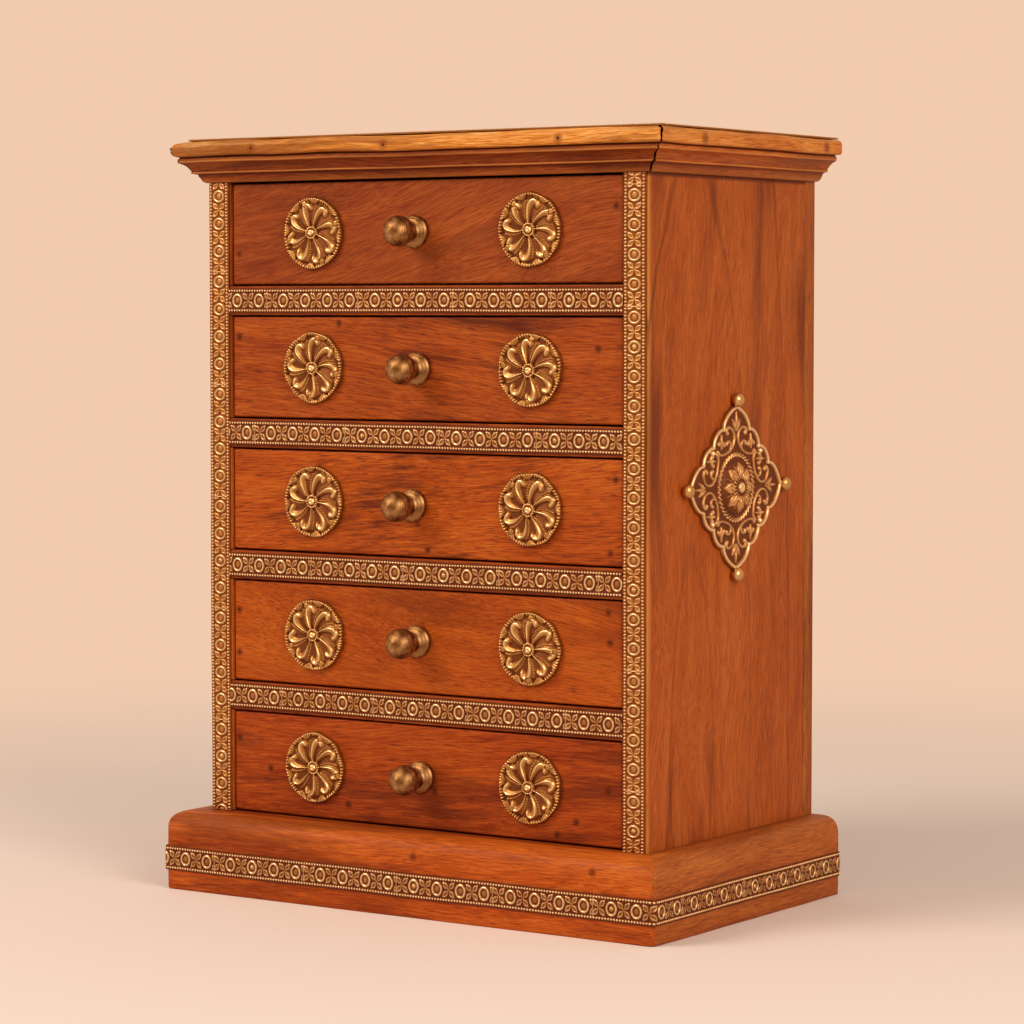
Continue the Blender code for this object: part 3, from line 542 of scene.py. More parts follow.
# %% Piece helpers
def piece(name, mesh, material, body, replaces=(), place=(0, 0, 0), turn=0.0):
    """Put a mesh into the scene, turned about Y and placed, as a piece that rides on a body and stands for solids."""
    mesh.materials.append(material)
    made = bpy.data.objects.new(name, mesh)
    bpy.context.scene.collection.objects.link(made)
    made.location = place
    made.rotation_euler = (0, turn, 0)
    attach(made, body)
    if replaces:
        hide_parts(*replaces)
    return made


def smooth_faces(made):
    """Shade round edges smooth while broad flat faces stay flat."""
    made.data.shade_smooth()
    weights = made.modifiers.new("flat faces stay flat", "WEIGHTED_NORMAL")
    weights.keep_sharp = True


print("helpers: piece, smooth_faces")

# %% [markdown]
# ## Boards with eased edges
# No planed board keeps a knife edge: a stroke of the plane and years of hands round it over, and the rounded
# edge catches a thin line of light. Each plain board is a copy of its solid with its triangles joined back into
# flat faces and every edge beveled in a few steps.

# %% Carcass boards and drawer linings
BOARD_EASE = 0.5 * MM
LINING_EASE = 0.4 * MM
EASE_STEPS = 3
MERGE_DISTANCE = 0.001 * MM
FLAT_ANGLE = math.radians(1)


def round_over(shape, edges, width, steps, **limits):
    """Round edges over in some steps."""
    bmesh.ops.bevel(shape, geom=edges, offset=width, offset_type="OFFSET", segments=steps, profile=0.5,
                    affect="EDGES", **limits)


def eased_board(node, ease):
    """A mesh like a solid's, with its edges rounded over."""
    shape = bmesh.new()
    shape.from_mesh(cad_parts[node].data)
    bmesh.ops.remove_doubles(shape, verts=shape.verts[:], dist=MERGE_DISTANCE)
    bmesh.ops.dissolve_limit(shape, angle_limit=FLAT_ANGLE, verts=shape.verts[:], edges=shape.edges[:])
    round_over(shape, shape.edges[:], ease, EASE_STEPS, clamp_overlap=True)
    return finished_mesh(node + "_eased", shape)


carcass_boards = {"side_panel_left": SIDE_TEAK, "side_panel_right": SIDE_TEAK, "back_panel": BACK_TEAK,
                  "top_board": BOARD_TEAK, "base_board": BOARD_TEAK}
carcass_boards.update({f"divider_{number}": BOARD_TEAK for number in DIVIDERS})
for node, finish in carcass_boards.items():
    smooth_faces(piece(node + "_wood", eased_board(node, BOARD_EASE), finish, "carcass", [node]))

LININGS = ("side_left", "side_right", "back", "bottom")
for number in DRAWERS:
    for node in (f"drawer_{number}_{part}" for part in LININGS):
        smooth_faces(piece(node + "_wood", eased_board(node, LINING_EASE), LINING_TEAK, f"drawer_{number}",
                           [node]))
print("boards:", len(carcass_boards), "in the carcass,", len(LININGS) * len(DRAWERS), "in the drawers")

# %% [markdown]
# ## Drawer fronts
# Each front is a thick board whose ends are cut back to lap over the drawer's sides. The outline is extruded
# upwards, its corners are rounded a little and its face edges are eased more than the rest. The sizes come from
# the solids of the front and of the drawer's sides, made a little fuller: the solid keeps the gap that a drawer
# needs to slide freely, while the old front has swollen to fill most of it.

# %% Drawer fronts
FRONT_FULLNESS = Vector((1.0, 0.0, 0.7)) * MM
CORNER_ROUND = 1.4 * MM
FACE_EASE = 1.1 * MM
FACE_EASE_STEPS = 5
LAP_GAP = 0.3 * MM


def front_board(number):
    """A lapped drawer front with a rounded face edge."""
    low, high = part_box(f"drawer_{number}_front")
    low, high = low - FRONT_FULLNESS, high + FRONT_FULLNESS
    side_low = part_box(f"drawer_{number}_side_right")[0]
    shoulder = side_low.y - LAP_GAP
    lap = side_low.x - LAP_GAP
    outline = [(low.x, low.y), (high.x, low.y), (high.x, shoulder), (lap, shoulder), (lap, high.y),
               (-lap, high.y), (-lap, shoulder), (low.x, shoulder)]
    shape = bmesh.new()
    loops = [[shape.verts.new((x, y, z)) for x, y in outline] for z in (low.z, high.z)]
    shape.faces.new(reversed(loops[0]))
    shape.faces.new(loops[1])
    for i in range(len(outline)):
        j = (i + 1) % len(outline)
        shape.faces.new((loops[0][i], loops[0][j], loops[1][j], loops[1][i]))
    corner_edges = [e for e in shape.edges if e.verts[0].co.y != e.verts[1].co.y
                    and all(abs(v.co.x) > lap + MERGE_DISTANCE for v in e.verts)]
    round_over(shape, corner_edges, CORNER_ROUND, FACE_EASE_STEPS)
    face_edges = [e for e in shape.edges if all(abs(v.co.y - low.y) < MERGE_DISTANCE for v in e.verts)]
    round_over(shape, face_edges, FACE_EASE, FACE_EASE_STEPS)
    bmesh.ops.recalc_face_normals(shape, faces=shape.faces[:])
    return finished_mesh(f"drawer_front_{number}", shape)


for number, finish in FRONT_TEAKS.items():
    smooth_faces(piece(f"drawer_front_{number}", front_board(number), finish, f"drawer_{number}",
                       [f"drawer_{number}_front"]))
print("fronts:", len(FRONT_TEAKS))

# %% [markdown]
# ## Sections of the mouldings
# The cornice is two lengths, a pale fascia over a bed moulding painted darker as shade, and the plinth is a board
# with a broad round on top. The plane that cut the bed moulding left a quirk, a fillet, a cove, a second fillet
# and a sloping foot. Each section is a list of points in millimetres, in from the outer face and down from the
# top, with the shift of tone that the finish shows there: pale above 0, dark below. A little of it is wear, most
# is painted light and shade: pale on fillets and round tops, dark in the quirk and on the undersides. The plinth
# is also darker at its foot.

# %% Sections
ARC_STEPS = 8


def arc(centre, reach, start, stop, tone_shift=0.0, squareness=2.0):
    """Points of an elliptical arc, with angles in degrees; a squareness above 2 fills out its shoulder."""
    points = []
    for turn in np.radians(np.linspace(start, stop, ARC_STEPS + 1)):
        c, s = math.cos(turn), math.sin(turn)
        points.append((centre[0] + reach[0] * math.copysign(abs(c) ** (2 / squareness), c),
                       centre[1] + reach[1] * math.copysign(abs(s) ** (2 / squareness), s), tone_shift))
    return points


# the third value of each point shifts its tone: painted highlight on the round tops and the fillets, painted shade in
# the quirk, under the fascia and below the lower fillet
FASCIA_SECTION = (arc((2.4, -2.4), (2.4, 2.4), 90, 180, 0.35)
                  + [(0, height, 0.0) for height in np.arange(-2.9, -6.0, -0.5)]
                  + arc((1.3, -6.1), (1.3, 1.3), 180, 270, 0.1) + [(2.4, -7.4, -0.8)])
BED_SECTION = ([(3.2, -7.45, -1.0), (3.1, -8.1, -0.8), (2.7, -8.3, 0.1), (2.6, -9.3, 0.4), (2.6, -10.1, 1.1),
                (3.0, -10.4, 0.3), (3.5, -10.55, -0.4)]
               + arc((3.5, -15.0), (3.9, 4.3), 90, 0, -0.2, 1.35)
               + [(7.2, -15.1, 0.6), (7.1, -15.4, 1.1), (7.2, -15.8, 0.7), (8.9, -16.2, -0.9), (9.5, -16.6, -0.7),
                  (9.9, -17.4, -0.2), (10.3, -18.5, 0.1), (10.9, -19.5, 0.4), (11.4, -20.1, 0.8), (12.2, -20.5, 0.2)])
plinth_low, plinth_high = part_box("plinth_front")
foot = (plinth_low.z - plinth_high.z) / MM
# the plinth: paler on its top round as painted highlight, darker at its foot where it meets the floor
PLINTH_SECTION = (arc((0.7, 0.7 + foot), (0.7, 0.7), 270, 180, -0.35)
                  + [(0, height + foot, -0.12) for height in (3.0, 9.0, 16.0, 23.0)]
                  + arc((13.0, -9.2), (13.0, 9.2), 180, 90, 0.15, 2.6))
print("sections:", len(FASCIA_SECTION), len(BED_SECTION), len(PLINTH_SECTION), "points")

# %% [markdown]
# ## Sweeping a moulding
# The lengths are mitred at the front corners. A moulding is a section swept along a line, so each one is a grid:
# points round the section, repeated at stations along the length. Each station is pulled in towards the mitre,
# and a slow noise of a few tenths of a millimetre makes the edges waver as hand-planed ones do. The mitres have
# opened and are ragged, and painted shade darkens them inside. The front left corner of the fascia was knocked
# round at some time, and the front length is painted darker towards that end, as shade.

# %% Points of a moulding
WAVER_LENGTH = 35.0 * MM
WAVER_SEEDS = {"front": 0.0, "left": 3.7, "right": 7.4}
RAG_LENGTH = 1.3 * MM
MITRE_GAP = 0.12 * MM
KNOCK_REACH = 6.5 * MM


def planed(point, side, waver):
    """A point of a moulding moved by the slow waver that a hand plane leaves, never below the floor."""
    seed = WAVER_SEEDS[side]
    shift = noise.noise_vector(point / WAVER_LENGTH + Vector((seed, seed, seed))) * waver
    shift[0 if side == "front" else 1] = 0.0
    moved = point + shift
    moved.z = max(moved.z, cad_low.z)
    return moved


def moulding_point(side, share, inward, height, middle_height, reach, make):
    """Where a point of the section is at a share of the length; reach is how far the moulding stands out."""
    outer = 1 - inward / reach["front" if side == "front" else "side"]
    torn = noise.noise(Vector((inward, height, WAVER_SEEDS[side] * MM)) / RAG_LENGTH)
    gap = max(MITRE_GAP, make["mitre"] + make["rag"] * torn)
    if side == "front":
        end = HALF_WIDTH + reach["side"] * outer - gap
        run = (2 * share - 1) * end
        to_corner = end - abs(run)
    else:
        start = FRONT_Y - reach["front"] * outer + gap
        run = start + share * (BACK_Y - start)
        to_corner = run - start
    if side == "left" or side == "front" and run < 0:
        blow = max(0.0, 1 - to_corner / KNOCK_REACH)
        height += make["knock"] * (1 - math.sqrt(1 - blow ** 2)) * (middle_height - height)
    corner_round = make["corner_round"]
    near = max(0.0, corner_round - to_corner)
    dip = (corner_round - math.sqrt(corner_round ** 2 - near ** 2)) * outer
    if side == "front":
        point = Vector((run, FRONT_Y - reach["front"] + inward + dip, height))
    else:
        sign = -1 if side == "left" else 1
        point = Vector((sign * (HALF_WIDTH + reach["side"] - inward - dip), run, height))
    return planed(point, side, make["waver"] * max(outer, 0.0))


print("mouldings: waver over", WAVER_LENGTH / MM, "mm")

# %% [markdown]
# ## The grid of a moulding
# Stations stand closer together near the ends, where the mitres need them. Each end is closed by a cap that is
# drawn in a little, so its edge is eased. The caps in the mitres are painted near black, as shade inside the
# gaps, and those at the back are plain sawn end grain, a little grimy.

# %% Mouldings as meshes
STATION_STEP = 3.0 * MM
END_CROWDING = 0.35
CAP_EASE = 0.04
CAP_SETBACK = 0.15
# painted shade: the caps inside the mitres are made near black
MITRE_SHADE = -1.2
SAWN_END_GRIME = -0.45
# share of the front length that is painted darker towards its left end, as shade
LEFT_END_SHADE_SHARE = 0.36
MOULDING_SHARP = math.radians(40)


def moulding(side, section, reach, make):
    """A length of moulding at the front, left or right, as a grid of sections along a line."""
    heights = [height for _, height, _ in section]
    middle_height = (max(heights) + min(heights)) / 2
    length = 2 * (HALF_WIDTH + reach["side"]) if side == "front" else BACK_Y - FRONT_Y + reach["front"]
    even = np.linspace(0, 1, int(length / STATION_STEP))
    stations = (1 - END_CROWDING) * even + END_CROWDING * (0.5 - 0.5 * np.cos(even * math.pi))
    shape = bmesh.new()
    loops = [[shape.verts.new(moulding_point(side, share, inward, height, middle_height, reach, make))
              for inward, height, _ in section] for share in stations]
    caps = []
    for end, inner in ((loops[0], loops[1]), (loops[-1], loops[-2])):
        middle = sum((v.co for v in end), Vector()) / len(end)
        caps.append([shape.verts.new(v.co.lerp(middle, CAP_EASE)) for v in end])
        for vertex, back in zip(end, inner):
            vertex.co = vertex.co.lerp(back.co, CAP_SETBACK)
    around = len(section)
    for one, other in zip([caps[0]] + loops, loops + [caps[1]]):
        for i in range(around):
            j = (i + 1) % around
            shape.faces.new((one[i], one[j], other[j], other[i]))
    for cap in caps:
        shape.faces.new(cap)
    bmesh.ops.recalc_face_normals(shape, faces=shape.faces[:])
    mesh = finished_mesh("moulding", shape)
    # painted shade: the front length darkens towards its left end
    left_end_shade = make["left_end_shade"] if side == "front" else 0.0
    tone_shift = [worn + left_end_shade * max(0.0, 1 - (share / LEFT_END_SHADE_SHARE) ** 2) for share in stations for _, _, worn in section]
    tone_shift += [MITRE_SHADE] * around + [MITRE_SHADE if side == "front" else SAWN_END_GRIME] * around
    mesh.attributes.new("tone_shift", "FLOAT", "POINT").data.foreach_set("value", tone_shift)
    mesh.shade_smooth()
    mesh.set_sharp_from_angle(angle=MOULDING_SHARP)
    return mesh


print("mouldings: stations every", STATION_STEP / MM, "mm")

# %% [markdown]
# ## Cornice and plinth
# Each of the three mouldings has a front, a left and a right length. The side lengths of the cornice stand out
# further than the front one, so their section is stretched by that much.

# %% Cornice and plinth
SEAT_GAP = 0.3 * MM
FASCIA_WAVER = 0.55 * MM
LENGTHS = {  # solids; outer points; wear of the inner points, upper and lower; how it was cut; its two finishes
    "fascia": ("cornice", FASCIA_SECTION, (0.0, -0.8),
               dict(corner_round=0.4 * MM, waver=FASCIA_WAVER, mitre=1.1 * MM, rag=1.3 * MM, knock=0.55, left_end_shade=-0.9),
               PALE_LIT_FASCIA_TEAK, PALE_LIT_FASCIA_SIDE_TEAK),
    "bed": ("cornice", BED_SECTION, (-1.0, -0.5),
            dict(corner_round=0.4 * MM, waver=0.30 * MM, mitre=0.7 * MM, rag=1.1 * MM, knock=0.0, left_end_shade=0.0),
            SHADED_BED_TEAK, SHADED_BED_SIDE_TEAK),
    "board": ("plinth", PLINTH_SECTION, (0.0, -0.6),
              dict(corner_round=2.2 * MM, waver=0.35 * MM, mitre=0.15 * MM, rag=0.0, knock=0.0, left_end_shade=0.0),
              PLINTH_TEAK, PLINTH_SIDE_TEAK),
}
for name, (kind, outer_points, (first_tone_shift, last_tone_shift), make, front_finish, side_finish) in LENGTHS.items():
    low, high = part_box(f"{kind}_front")
    reach = {"front": FRONT_Y - low.y, "side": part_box(f"{kind}_right")[1].x - HALF_WIDTH}
    inner = (reach["front"] - SEAT_GAP) / MM
    design = ([(inner, outer_points[0][1], first_tone_shift)] + outer_points
              + [(inner, outer_points[-1][1], last_tone_shift)])
    for side in WAVER_SEEDS:
        spread = MM if side == "front" else MM * reach["side"] / reach["front"]
        section = [(inward * spread, high.z + height * MM, worn) for inward, height, worn in design]
        piece(f"{kind}_{side}_{name}", moulding(side, section, reach, make),
              front_finish if side == "front" else side_finish, "carcass", [f"{kind}_{side}"])
print("mouldings:", len(WAVER_SEEDS) * len(LENGTHS), "lengths")

# %% [markdown]
# ## How a stamped relief is drawn
# A die is cut with round tools, so its print is a field of rounded bosses and ridges. Here every one of them is
# a row of overlapping domes: a bead is one dome, a scroll is many along a curve, with a width and a height that
# may change on the way. The height of the sheet at a point is that of the tallest dome over it.


# %% Domes and strokes
def dome_heights(points, domes):
    """Height at each (u, v) point of the tallest dome over it; domes are rows of u, v, radius, height in mm."""
    nearby = kdtree.KDTree(len(points))
    for i, (u, v) in enumerate(points):
        nearby.insert((u, v, 0.0), i)
    nearby.balance()
    field = np.zeros(len(points))
    for u, v, radius, height in domes:
        for _, i, gap in nearby.find_range((u, v, 0.0), radius):
            rise = height * math.sqrt(max(0.0, 1 - (gap / radius) ** 2))
            if rise > field[i]:
                field[i] = rise
    return field


def smooth_line(points, step):
    """A smooth curve through some points, sampled about every step."""
    points = np.asarray(points, float)
    knots = np.vstack([2 * points[0] - points[1], points, 2 * points[-1] - points[-2]])
    line = []
    for a, b, c, d in zip(knots, knots[1:], knots[2:], knots[3:]):
        count = max(2, int(np.linalg.norm(c - b) / step))
        for t in np.arange(count) / count:
            line.append(0.5 * (2 * b + (c - a) * t + (2 * a - 5 * b + 4 * c - d) * t ** 2
                               + (3 * b - a - 3 * c + d) * t ** 3))
    line.append(points[-1])
    return np.array(line)


def stroke(points, widths, heights, step=0.3):
    """A ridge along a smooth curve: domes whose half width and height change along it as the lists say."""
    line = smooth_line(points, step)
    share = np.linspace(0, 1, len(line))
    width = np.interp(share, np.linspace(0, 1, len(widths)), widths)
    height = np.interp(share, np.linspace(0, 1, len(heights)), heights)
    return np.column_stack([line, width, height])


def polar(degrees, radius):
    """Point at an angle clockwise from the top."""
    turn = math.radians(degrees)
    return radius * math.sin(turn), radius * math.cos(turn)


def turned_about(domes, degrees):
    """Domes turned clockwise about the middle."""
    made = np.array(domes, float)
    turn = math.radians(degrees)
    u, v = made[:, 0].copy(), made[:, 1].copy()
    made[:, 0] = u * math.cos(turn) + v * math.sin(turn)
    made[:, 1] = -u * math.sin(turn) + v * math.cos(turn)
    return made


print("helpers: dome_heights, smooth_line, stroke, polar, turned_about")

# %% [markdown]
# ## From heights to a sheet
# A grid of points lifted by the heights, with a skirt down to a flat back, is the stamped sheet. Rosettes and
# plaques are round, so their grids are polar: a middle point and rings that follow the edge. Every sheet carries
# its relief for the brass finish.

# %% Sheets
SHEET_SHARP = math.radians(75)


def relief_mesh(name, vertices, faces, relief):
    """A smooth mesh that carries its relief, 0 in the hollows and 1 on the crests."""
    mesh = bpy.data.meshes.new(name)
    mesh.from_pydata(vertices.tolist(), [], faces)
    mesh.attributes.new("relief", "FLOAT", "POINT").data.foreach_set("value", np.asarray(relief, np.float32))
    shape = bmesh.new()
    shape.from_mesh(mesh)
    bmesh.ops.recalc_face_normals(shape, faces=shape.faces[:])
    shape.to_mesh(mesh)
    shape.free()
    mesh.shade_smooth()
    mesh.set_sharp_from_angle(angle=SHEET_SHARP)
    return mesh


def even_turns(count):
    """Angles of spokes, which start at the right."""
    return np.arange(count) * 2 * math.pi / count


def round_sheet_points(edge, rings):
    """Points of a round sheet: the middle and rings scaled from the edge radii, which start at the right."""
    turns = even_turns(len(edge))
    radius = np.linspace(0, 1, rings + 1)[1:, None] * edge[None, :]
    around = np.column_stack([(radius * np.cos(turns)).reshape(-1), (radius * np.sin(turns)).reshape(-1)])
    return np.vstack([[0.0, 0.0], around])


def round_sheet_faces(rings, spokes):
    """Faces of a round sheet: a middle point, rings of points, a skirt and a flat back."""
    ring = 1 + np.arange(rings * spokes).reshape(rings, spokes)
    after = np.roll(ring, -1, axis=1)
    back = 1 + rings * spokes + np.arange(spokes)
    fan = np.stack([np.zeros(spokes, int), ring[0], after[0]], -1)
    quads = np.stack([ring[:-1], ring[1:], after[1:], after[:-1]], -1).reshape(-1, 4)
    skirt = np.stack([ring[-1], back, np.roll(back, -1), after[-1]], -1)
    return fan.tolist() + quads.tolist() + skirt.tolist() + [back.tolist()]


print("helpers: relief_mesh, even_turns, round_sheet_points, round_sheet_faces")

# %% [markdown]
# ## The stamped strip
# All the strips are cut from one rolled stock. Its die prints a row of pearls inside each edge, and between them
# rings round a low button, which take turns with four-leaved flowers. The die is a little longer than four
# repeats, so at every seam a flower is begun and cut off by the line where the next print starts. One print is
# worked out as a tile of heights, and every strip repeats it along its own line, starting somewhere else.

# %% One print of the strip
PRINT_COLUMNS = 210
PRINT_MM = 57.0
PEARLS = 35
PEARL_ROW_MM = 4.95
MOTIFS = 5
MOTIF_MM = 13.85
FIRST_FLOWER_MM = 3.7
RING_MM = (2.6, 3.0)
PEARL_DOME = (0.70, 0.78)  # half width and height in mm, as of the other domes
RING_DOME = (0.66, 0.74)
BUTTON_DOME = (1.75, 0.40)
EYE_DOME = (0.5, 0.5)
SEAM_DOME = (0.42, 0.56)
SEAM_MM = 0.15
LEAF_ROOT = np.array((0.45, 0.50))
LEAF_TIP = np.array((3.2, 3.55))
STRIP_HALF_MM = 6.2
STRIP_EDGE_ROWS = [-STRIP_HALF_MM, -5.95, -5.7, -5.5, -5.25, -PEARL_ROW_MM, -4.65, -4.4, -4.2, -3.9]
STRIP_ROWS = np.array(STRIP_EDGE_ROWS + np.linspace(-3.6, 3.6, 19).tolist() + [-v for v in reversed(STRIP_EDGE_ROWS)])

print_domes = [[(pearl + 0.5) * PRINT_MM / PEARLS, row, *PEARL_DOME]
               for pearl in range(PEARLS) for row in (-PEARL_ROW_MM, PEARL_ROW_MM)]
for motif in range(MOTIFS):
    flower = FIRST_FLOWER_MM + motif * MOTIF_MM
    ring = flower + MOTIF_MM / 2
    print_domes += [[ring + RING_MM[0] * math.cos(turn), RING_MM[1] * math.sin(turn), *RING_DOME]
                    for turn in np.linspace(0, 2 * math.pi, 60)]
    print_domes += [[ring, 0, *BUTTON_DOME], [flower, 0, *EYE_DOME]]
    for way in ((-1, -1), (-1, 1), (1, -1), (1, 1)):
        root, tip = LEAF_ROOT * way, LEAF_TIP * way
        middle = (root + tip) / 2
        sideways = np.array([tip[1] - root[1], root[0] - tip[0]]) / np.linalg.norm(tip - root)
        leaf = [stroke([root, middle + belly * sideways, tip], [0.34, 0.42, 0.38], [0.48, 0.62, 0.58], 0.25)
                for belly in (-1, 1)]
        leaf.append(stroke([root, middle, tip], [0.3, 0.95, 0.3], [0.16, 0.26, 0.16], 0.25))
        print_domes += [[flower + u, v, radius, height] for u, v, radius, height in np.vstack(leaf)]
print_domes += [[SEAM_MM, v, *SEAM_DOME] for v in np.arange(-4.1, 4.2, 0.25)]

columns = (np.arange(PRINT_COLUMNS) + 0.5) * PRINT_MM / PRINT_COLUMNS
tile_points = np.array([(u, v) for u in columns for v in STRIP_ROWS])
PRINT = dome_heights(tile_points, print_domes).reshape(PRINT_COLUMNS, len(STRIP_ROWS))
print("print:", len(print_domes), "domes,", PRINT.shape, "heights up to", round(PRINT.max(), 2), "mm")

# %% [markdown]
# ## A strip along a line
# A strip follows a line of points, one for each column of the print, with a direction across it and a direction
# outwards. Its top is the print lifted along the outward direction, and it has edges, ends and a back. A strip
# pinned by hand is never quite straight, so the line sways by a fraction of a millimetre. A ring of every
# other print takes a nail. The strips could be one flat plate with a bump, but the pearls would then lose their
# outline.

# %% Strips along a line
SHEET_MM = 0.28
STRIP_RELIEF_MM = 0.66
RING_COLUMNS = [round((FIRST_FLOWER_MM + MOTIF_MM * (k + 0.5)) / PRINT_MM * PRINT_COLUMNS) for k in range(3)]
NAIL_MARGIN = 20
SWAY = 0.3 * MM
SWAY_LENGTH = 45 * MM
EDGE_TONE = 0.45
driven = random.Random(5)
strip_nails = []


def lay_strip(name, line, across, normals, first_column, node, finish=STRIP_BRASS):
    """Lay a strip along a line, with its directions across and outwards, nailed in a ring of every other print."""
    count, rows = len(line), len(STRIP_ROWS)
    line = line + across * np.array([SWAY * noise.noise(Vector(point) / SWAY_LENGTH) for point in line])[:, None]
    heights = PRINT[(first_column + np.arange(count)) % PRINT_COLUMNS]
    flat = line[:, None] + across[:, None] * STRIP_ROWS[None, :, None] * MM
    top = flat + normals[:, None] * (SHEET_MM + heights[..., None]) * MM
    vertices = np.vstack([top.reshape(-1, 3), flat[:, [0, -1]].reshape(-1, 3)])
    grid = np.arange(count * rows).reshape(count, rows)
    under = count * rows + np.arange(count * 2).reshape(count, 2)
    sheets = [np.stack([grid[:-1, :-1], grid[1:, :-1], grid[1:, 1:], grid[:-1, 1:]], -1).reshape(-1, 4),
              np.stack([under[:-1, 0], under[1:, 0], grid[1:, 0], grid[:-1, 0]], -1),
              np.stack([grid[:-1, -1], grid[1:, -1], under[1:, 1], under[:-1, 1]], -1),
              np.stack([under[:-1, 1], under[1:, 1], under[1:, 0], under[:-1, 0]], -1)]
    faces = np.vstack(sheets).tolist()
    for i in (0, count - 1):
        faces.append([*grid[i].tolist(), under[i, 1], under[i, 0]])
    relief = np.concatenate([np.clip(heights.reshape(-1) / STRIP_RELIEF_MM, 0, 1), np.full(count * 2, EDGE_TONE)])
    piece(name, relief_mesh(name, vertices, faces, relief), finish, "carcass", [node])
    for start in range(-PRINT_COLUMNS, count, 2 * PRINT_COLUMNS):
        i = start + PRINT_COLUMNS - first_column % PRINT_COLUMNS + driven.choice(RING_COLUMNS)
        if NAIL_MARGIN < i < count - NAIL_MARGIN:
            strip_nails.append((line[i], normals[i]))


def straight_strip(name, start, end, across, normal, first_column, node, finish=STRIP_BRASS):
    """Lay a straight strip between two points."""
    start, end = np.array(start), np.array(end)
    count = int(np.linalg.norm(end - start) / MM * PRINT_COLUMNS / PRINT_MM)
    line = start + (end - start) * np.linspace(0, 1, count)[:, None]
    lay_strip(name, line, np.tile(across, (count, 1)), np.tile(normal, (count, 1)), first_column, node, finish)


print("strips: nails in columns", RING_COLUMNS, "of a print")

# %% [markdown]
# ## Strips of the front and the top
# The strips of the two stiles run through from the plinth to the cornice, and those of the rails are cut to fit
# between them. On the top, the front length runs from side to side and the side lengths start behind it. Where
# the cornice's corner was knocked off, the end of the front length went with it.

# %% Straight strips
FORWARD, UPWARD, RIGHTWARD, BACKWARD = (0.0, -1.0, 0.0), (0.0, 0.0, 1.0), (1.0, 0.0, 0.0), (0.0, 1.0, 0.0)
LOST_END = 9 * MM
half = STRIP_HALF_MM * MM
strip_low, strip_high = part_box("face_strips")
seat_y = strip_high.y
band_low, band_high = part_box("plinth_strip")
left_line = strip_low.x + half
right_line = strip_high.x - (band_high.z - band_low.z) + half
for name, x, first_column in (("stile_strip_left", left_line, 40), ("stile_strip_right", right_line, 105)):
    straight_strip(name, (x, seat_y, strip_low.z), (x, seat_y, strip_high.z), RIGHTWARD, FORWARD, first_column,
                   "face_strips")
for number, first_column in zip(DIVIDERS, (120, 150, 20, 88)):
    low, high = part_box(f"divider_{number}")
    z = (low.z + high.z) / 2
    straight_strip(f"rail_strip_{number}", (left_line + half, seat_y, z), (right_line - half, seat_y, z), UPWARD,
                   FORWARD, first_column, "face_strips", RAIL_BRASS)

top_low, top_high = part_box("top_strip")
front_line = top_low.y + half
straight_strip("top_strip_front", (top_low.x + LOST_END, front_line, top_low.z),
               (top_high.x, front_line, top_low.z), BACKWARD, UPWARD, 60, "top_strip")
for name, x, first_column in (("top_strip_left", top_low.x + half, 10), ("top_strip_right", top_high.x - half, 140)):
    straight_strip(name, (x, front_line + half, top_low.z), (x, top_high.y, top_low.z), RIGHTWARD, UPWARD,
                   first_column, "top_strip")
print("strips: 9 straight ones,", len(strip_nails), "nails so far")

# %% [markdown]
# ## The strip round the plinth
# This one is bent round the two front corners in one piece. Its line runs along the left side, round a small
# arc, along the front, round the other arc and back, and its outward direction turns with it.

# %% Plinth strip
BEND_RADIUS = 2.2 * MM
COLUMN_STEP = PRINT_MM * MM / PRINT_COLUMNS
CAD_SHEET = 0.6 * MM
seat_x = band_high.x - CAD_SHEET
seat_front = band_low.y + CAD_SHEET
middle_z = (band_low.z + band_high.z) / 2
corner_x, corner_y = seat_x - BEND_RADIUS, seat_front + BEND_RADIUS
line, normals = [], []


def straight_leg(start, end, outward):
    """Go on straight along a face of the plinth."""
    count = int(math.dist(start, end) / COLUMN_STEP)
    for i in range(count):
        line.append(np.array(start) + (np.array(end) - np.array(start)) * i / count)
        normals.append(np.array(outward))


def bend(centre, first_turn):
    """Go round a quarter of a circle."""
    count = int(math.pi / 2 * BEND_RADIUS / COLUMN_STEP)
    for i in range(count):
        turn = first_turn + math.pi / 2 * i / count
        normals.append(np.array((math.cos(turn), math.sin(turn))))
        line.append(np.array(centre) + normals[-1] * BEND_RADIUS)


straight_leg((-seat_x, band_high.y), (-seat_x, corner_y), (-1, 0))
bend((-corner_x, corner_y), math.pi)
straight_leg((-corner_x, seat_front), (corner_x, seat_front), (0, -1))
bend((corner_x, corner_y), 1.5 * math.pi)
straight_leg((seat_x, corner_y), (seat_x, band_high.y + COLUMN_STEP), (1, 0))
line = np.column_stack([np.array(line), np.full(len(line), middle_z)])
normals = np.column_stack([np.array(normals), np.zeros(len(normals))])
lay_strip("plinth_strip_band", line, np.tile(UPWARD, (len(line), 1)), normals, 70, "plinth_strip", RAIL_BRASS)
print("plinth strip:", len(line), "columns,", round(len(line) * COLUMN_STEP, 3), "m long")

# %% [markdown]
# ## Rosettes
# Each rosette is pressed from a round blank: eight comma-shaped petals whirl clockwise out of a domed button
# with a fringe of short strokes. A petal is a crest that widens and bends over at its end. Outside the bend the
# metal slopes gently away and carries a line of fine beads, and inside it drops into a dark hollow. The rim is
# cut into short ridges and little fans of leaves. One petal is drawn, with its share of the rim, and turned
# eight times.

